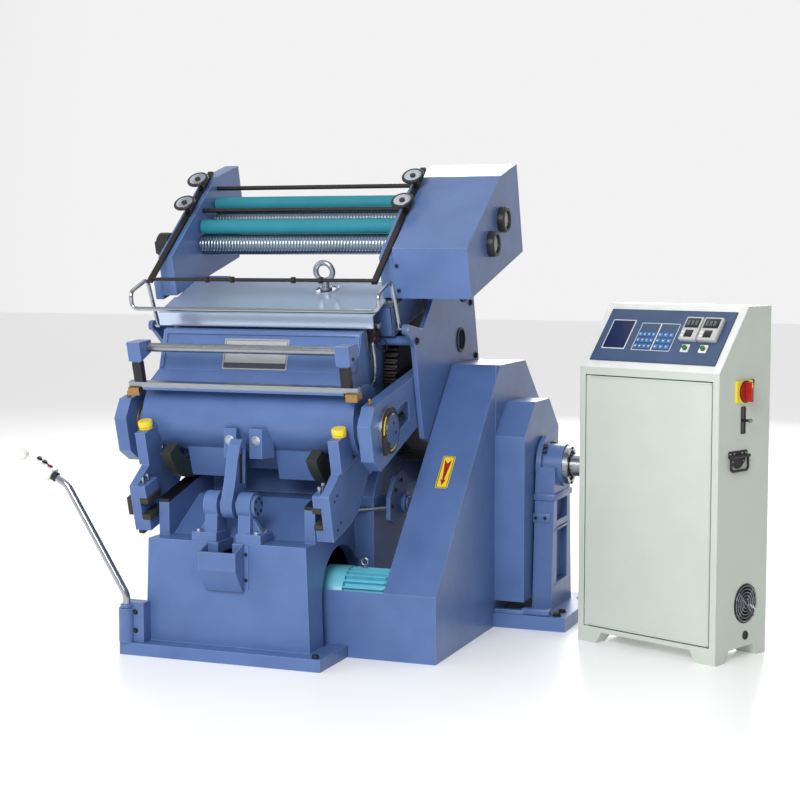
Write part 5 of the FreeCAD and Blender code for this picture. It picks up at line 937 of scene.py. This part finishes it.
class PRESS_OT_guard_fittings(bpy.types.Operator):
    """Turning arrow and seam of the belt guard, covers of the crank gears, and the motor's eye and cowl"""
    bl_idname = "press.guard_fittings"
    bl_label = "Guard and motor fittings"

    def execute(self, context):
        face = sloping((-347, 250), (417.05, 1048.11))
        plate("arrow_label", "yellow_paint", round_corners((631, 487), (681, 640), 8), 0.2, 1.2, face)
        border("arrow_border", "black_plastic", (634, 490), (678, 637), face, width=2.4, radius=6,
               bottom=1.0, top=1.7)
        arrow = [(656, 500), (668, 530), (659.5, 525), (670, 622), (656, 604), (642, 622), (652.5, 525),
                 (644, 530)]
        plate("arrow_mark", "red_plastic", arrow, 1.1, 1.8, face)
        eye_x, eye_y = 424, MOTOR[0]
        with fitting("motor_eye", "bright_steel") as bm:
            swept(bm, [(eye_x, eye_y, 312), (eye_x, eye_y, 322)], radius=7, steps=16)
            swept(bm, arc((eye_x, eye_y, 338), 13, 0, 360, 28, ((1, 0, 0), (0, 0, 1))), radius=4, steps=12)
        cowl_end = stand((282, *MOTOR), "+X")
        with fitting("motor_cowl", "motor_paint") as bm:
            turned(bm, [(110, -2), (113.5, 0), (113.5, 86), (110.5, 92), (108, 92)], cowl_end, 72)
            turned(bm, [(0, -8), (40, -8), (80, -6), (104, 0), (112.8, 10)], cowl_end, 72)
        front, rear, low, high = 300, 640, 268, 384.8
        inner, outer, sheet = 400.2, 471.5, 7
        for sign, side in ((1, "right"), (-1, "left")):
            with fitting("gear_cover_" + side, "blue_paint", PRESS @ mirrored(x=sign)) as bm:
                prism(bm, [(front, low), (rear, low), (rear, high), (front, high)], outer - sheet, outer,
                      SIDEWAYS)
                soft_box(bm, (inner, front, 376), (outer, 480, high), edge=0.0015)
                soft_box(bm, (inner, front, low), (outer, 306, high), edge=0.0015)
        blocks("guard_seam", "blue_paint", [((756.4, 352, 250), (758.2, 360, 1046))], edge=0.0006)
        return {"FINISHED"}


class PRESS_OT_control_panel(bpy.types.Operator):
    """Border, display, keypad, controllers and button rings of the sloping panel"""
    bl_idname = "press.control_panel"
    bl_label = "Control panel"

    def execute(self, context):
        border("panel_border", "pale_border", (1, 1), (628, 302), PANEL, width=31.5, radius=1.5, bottom=-0.5,
               top=1.2)
        border("panel_edge", "plate_ink", (32.2, 32.2), (596.8, 271), PANEL, width=1.6, radius=1.0,
               bottom=5.5, top=6.6)
        plate("display_bezel", "pale_border", round_corners((62, 86), (169, 221), 3), 6.0, 6.9, PANEL)
        plate("display", "navy_glass", round_corners((66, 90), (165, 217), 1.5), 6.6, 7.6, PANEL)
        with fitting("keypad_outline", "pale_border", PANEL) as bm:
            for left, right in ((201, 290), (290, 375)):
                rim(bm, (left, 84), (right, 210), width=2.2, radius=4, bottom=6.0, top=7.0)
        columns = [(207 + 20 * k, 16) for k in range(4)] + [(296 + 25 * k, 20) for k in range(3)]
        rows = [94 + 27 * k for k in range(3)]
        places = [(x, y, width) for y in rows for x, width in columns]
        keys = [((x, y, 6), (x + width, y + 18, 9)) for x, y, width in places]
        blocks("keypad_keys", "key_blue", keys, edge=0.002, matrix=PANEL)
        dots = [((x + 5, y + 7, 8.5), (x + 11, y + 11, 9.5)) for x, y, _ in places]
        blocks("keypad_dots", "pale_border", dots, edge=0.0005, matrix=PANEL)
        for i, (x, width) in enumerate(((404, 74), (484, 80))):
            self.controller(i, x, width)
        with fitting("button_bezels", "white_plastic", PANEL) as bm:
            for x in (440.5, 519.5):
                rim(bm, (x - 17, 84), (x + 17, 118), width=7.0, radius=3, bottom=6.0, top=9.5)
                turned(bm, ring_profile(9.6, 13, 6, 9.0, 0.6), moved(x, 101, 0), 32)
        return {"FINISHED"}

    def controller(self, i, x, width):
        right = x + width
        middle = x + width / 2
        blocks("controller_case_%d" % i, "grille", [((x, 130, 6), (right, 232, 26))], edge=0.003,
               matrix=PANEL)
        with fitting("controller_window_%d" % i, "display", PANEL) as bm:
            soft_box(bm, (x + 7, 182, 25), (right - 7, 225, 27.2), edge=0.0012)
            soft_box(bm, (middle - 17, 140, 25), (middle + 17, 172, 27.6), edge=0.0015)
        digits = [((x + 14 + 17 * k, 192, 27), (x + 25 + 17 * k, 214, 27.8)) for k in range(3)]
        blocks("controller_digits_%d" % i, "digits", digits, edge=0.0005, matrix=PANEL)
        keys = [((x + 6, 142 + 16 * k, 25), (middle - 20, 152 + 16 * k, 27.6)) for k in range(2)]
        blocks("controller_keys_%d" % i, "white_plastic", keys, edge=0.0012, matrix=PANEL)


class PRESS_OT_cabinet_fittings(bpy.types.Operator):
    """Switch plate, lever slot, latch plate and fan guard on the cabinet's side, and the door's bead"""
    bl_idname = "press.cabinet_fittings"
    bl_label = "Cabinet fittings"

    def execute(self, context):
        self.switch_and_lever()
        self.latch()
        self.fan()
        lead_hole = CABINET_SIDE @ moved(*LEAD, 0)
        with fitting("lead_grommet", "black_plastic") as bm:
            turned(bm, ring_profile(11, 17, -0.5, 4, 1.2), lead_hole, 32)
            turned(bm, disc_profile(11.5, -0.4, 0.6, 0.2), lead_hole, 32)
        door_face = CABINET @ spun(90, "X") @ mirrored(y=-1)
        left, right, top, bottom, width = 52, 596, -1029, -68, 5
        strips = [((left, top), (right, top + width)), ((left, bottom - width), (right, bottom)),
                  ((right - width, top), (right, bottom))]
        beads = [((*low, -0.2), (*high, 1.4)) for low, high in strips]
        blocks("door_bead", "cream_paint", beads, edge=0.0006, matrix=door_face, body="cabinet_door_body")
        return {"FINISHED"}

    def switch_and_lever(self):
        plate("switch_plate", "yellow_paint", round_corners((-1034, 104), (-952, 212), 6), -0.5, 8,
              CABINET_SIDE)
        with fitting("switch_ring", "black_plastic", CABINET_SIDE) as bm:
            turned(bm, ring_profile(37.5, 41, 8, 10.5, 0.8), moved(*KNOB, 0), 48)
            soft_box(bm, (-1036, 206, 0), (-1014, 216, 9), edge=0.002)
        skirt = [(0, 13.6), (33, 13.6), (35.8, 12.6), (36.3, 12.6), (36.3, 1.2), (36.6, 1.2)]
        turnings("knob_skirt", "red_plastic", skirt, [CABINET_SIDE @ moved(*KNOB, 0)], steps=60,
                 body="rotary_knob_body")
        blocks("knob_pointer", "yellow_paint", [((-1027, 157, 35.5), (-1008, 163, 36.8))], edge=0.0006,
               matrix=CABINET_SIDE, body="rotary_knob_body")
        # Painted shade: a flush near-black glossy sheet fills the lever slot, standing in for the shade
        # inside its opening
        plate("lever_slot", "oil", round_corners((-934, 146), (-842, 168), 3), -0.4, 0.45, CABINET_SIDE,
              slot="black_plastic")
        border("lever_slot_rim", "black_plastic", (-938, 142), (-838, 172), CABINET_SIDE, width=4, radius=5,
               bottom=-0.4, top=2.2)
        tip = [(0, 28), (7, 28), (8, 30), (8, 35), (6.5, 37), (0, 37.4)]
        turnings("lever_tip", "bright_steel", tip, [CABINET_SIDE @ moved(*SLOT_LEVER, 0)], steps=24,
                 body="slot_lever_body")

    def latch(self):
        tongue = [(-754, 78), (-754, 174), (-738, 174), (-716, 146), (-712, 126), (-716, 106), (-738, 78)]
        with fitting("latch_plate", "black_plastic", CABINET_SIDE) as bm:
            for outline in (round_corners((-779, 64), (-752, 188), 6), tongue):
                prism(bm, outline, -0.4, 1.8)
        rivet = [(0, 1.6), (5, 1.6), (4.6, 3.4), (0, 4.2)]
        places = ((-768, 76), (-768, 100), (-768, 152), (-768, 176), (-740, 90), (-740, 162))
        turnings("latch_rivets", "bright_steel", rivet,
                 [CABINET_SIDE @ moved(*place, 0) for place in places], steps=18)

    def fan(self):
        middle = CABINET_SIDE @ moved(*FAN, 0)
        spoke, screw_circle, opening = 70, 70.5, 66
        with fitting("fan_guard", "bright_steel") as bm:
            for radius in (18, 30, 42, 54, 66):
                ring = arc((0, 0, 4.5), radius, 0, 360, 48, ((1, 0, 0), (0, 1, 0)))
                swept(bm, placed(middle, ring), radius=1.7, steps=8)
            for turn in (math.radians(45), math.radians(135)):
                x, y = spoke * math.cos(turn), spoke * math.sin(turn)
                swept(bm, placed(middle, [(-x, -y, 2.6), (x, y, 2.6)]), radius=2.0, steps=8)
        with fitting("fan_frame", "black_plastic") as bm:
            turned(bm, ring_profile(64.5, 74, -1, 3.0), middle, 64)
            for turn in (math.radians(45 + 90 * k) for k in range(4)):
                spot = moved(screw_circle * math.cos(turn), screw_circle * math.sin(turn), 0)
                cap_screw(bm, middle @ spot, 4, 5.5)
        disc = [(opening * math.cos(a), opening * math.sin(a)) for a in round_turn(36)]
        plate("fan_back", "black_plastic", disc, -34, -31, middle)


class PRESS_OT_station_fittings(bpy.types.Operator):
    """Collars and clamp of the push-button station"""
    bl_idname = "press.station_fittings"
    bl_label = "Button station fittings"

    def execute(self, context):
        turnings("swivel_collar", "blue_paint", ring_profile(14.4, 24, 0, 14, 1.5),
                 [stand((-387, -580, 174.5), "+Z")], steps=32, body="swivel")
        gland = [(14.2, 0), (19, 0), (19, 16), (15, 20), (14.2, 20)]
        turnings("station_gland", "black_plastic", gland, [STATION @ FACING["+X"]], steps=32, body="swivel")
        turnings("button_collars", "black_plastic", ring_profile(9.2, 12.4, -0.4, 2.2, 0.5),
                 [STATION @ moved(-30 - 26 * k, 0, 23) for k in range(3)], steps=28, body="swivel")
        blocks("socket_clamp", "blue_paint", [((-420, -572, 60), (-410, -540, 130))], edge=0.002)
        bolts("socket_bolts", [(-350, -580, z) for z in (90, 160)], "-Y", 7)
        return {"FINISHED"}


class PRESS_OT_finishes(bpy.types.Operator):
    """Make the finishes and put them on the solids"""
    bl_idname = "press.finishes"
    bl_label = "Finishes"

    def execute(self, context):
        make_materials()
        dress_nodes()
        return {"FINISHED"}


class PRESS_OT_stage(bpy.types.Operator):
    """Pale floor, soft light and the camera"""
    bl_idname = "press.stage"
    bl_label = "Stage"

    def execute(self, context):
        self.floor(context.scene)
        self.world(context.scene)
        self.lights(context.scene)
        self.camera(context.scene)
        return {"FINISHED"}

    def floor(self, scene):
        mesh = bpy.data.meshes.new("floor")
        bm = bmesh.new()
        bmesh.ops.create_grid(bm, x_segments=2, y_segments=2, size=FLOOR_HALF)
        bm.to_mesh(mesh)
        bm.free()
        floor = bpy.data.objects.new("floor", mesh)
        scene.collection.objects.link(floor)
        material, tree, shader = new_material("floor paint")
        tone = ramp(tree, speckle(tree, 0.8, 4.0), [(0.3, (0.84, 0.84, 0.84)), (0.7, (0.87, 0.87, 0.87))])
        feed(shader, "Base Color", tone)
        put(shader, Roughness=0.32, Emission_Color=WHITE, Emission_Strength=FLOOR_GLOW)
        mesh.materials.append(material)

    def world(self, scene):
        world = bpy.data.worlds.new("studio")
        world.use_nodes = True
        tree = world.node_tree
        place = add(tree, "ShaderNodeTexCoord")
        axes = add(tree, "ShaderNodeSeparateXYZ")
        feed(axes, "Vector", place.outputs["Generated"])
        darker_right = spread(tree, axes.outputs["X"], low=0.60, high=0.33, start=0.1, stop=0.8)
        brighter_behind = spread(tree, axes.outputs["Y"], low=0.0, high=0.29, start=0.55, stop=0.85)
        background = tree.nodes["Background"]
        put(background, Color=WHITE)
        strength = combined(tree, "ADD", darker_right, brighter_behind)
        feed(background, "Strength", strength)
        scene.world = world
        scene.view_settings.view_transform = "Standard"

    def lights(self, scene):
        for name, place, size, power in LIGHTS:
            light = bpy.data.lights.new(name, "AREA")
            light.size = size
            light.energy = power
            lamp = bpy.data.objects.new(name, light)
            lamp.location = place
            aim = LIGHTS_AIM - Vector(place)
            lamp.rotation_euler = aim.to_track_quat("-Z", "Y").to_euler()
            scene.collection.objects.link(lamp)

    def camera(self, scene):
        lens = bpy.data.cameras.new("camera")
        lens.sensor_width = SENSOR_WIDTH
        lens.lens = FOCAL_LENGTH
        lens.clip_end = SIGHT
        camera = bpy.data.objects.new("camera", lens)
        camera.location = EYE
        level = math.cos(EYE_PITCH)
        look = Vector((-math.sin(EYE_TURN) * level, math.cos(EYE_TURN) * level, -math.sin(EYE_PITCH)))
        camera.rotation_euler = look.to_track_quat("-Z", "Y").to_euler()
        scene.collection.objects.link(camera)
        scene.camera = camera


OPERATORS = [PRESS_OT_stage, PRESS_OT_finishes, PRESS_OT_fasteners, PRESS_OT_bearing_fittings,
             PRESS_OT_hook_fittings, PRESS_OT_link_fittings, PRESS_OT_trunnion_fittings,
             PRESS_OT_platen_panel, PRESS_OT_switchgear, PRESS_OT_foil_fittings, PRESS_OT_guard_fittings,
             PRESS_OT_control_panel, PRESS_OT_cabinet_fittings, PRESS_OT_station_fittings]


class PRESS_PT_sidebar(bpy.types.Panel):
    """Pieces of the press"""
    bl_idname = "PRESS_PT_sidebar"
    bl_label = "Rolling platen press"
    bl_space_type = "VIEW_3D"
    bl_region_type = "UI"
    bl_category = "Press"

    def draw(self, context):
        for operator in OPERATORS:
            self.layout.operator(operator.bl_idname)


CLASSES = [PressFinishes, PressSizes] + OPERATORS + [PRESS_PT_sidebar]


def register():
    for cls in CLASSES:
        bpy.utils.register_class(cls)
    bpy.types.Scene.press_finishes = PointerProperty(type=PressFinishes)
    bpy.types.Scene.press_sizes = PointerProperty(type=PressSizes)


def unregister():
    del bpy.types.Scene.press_sizes
    del bpy.types.Scene.press_finishes
    for cls in reversed(CLASSES):
        bpy.utils.unregister_class(cls)


def main():
    register()
    for operator in OPERATORS:
        group, name = operator.bl_idname.split(".")
        getattr(getattr(bpy.ops, group), name)()


if __name__ == "__main__":
    main()
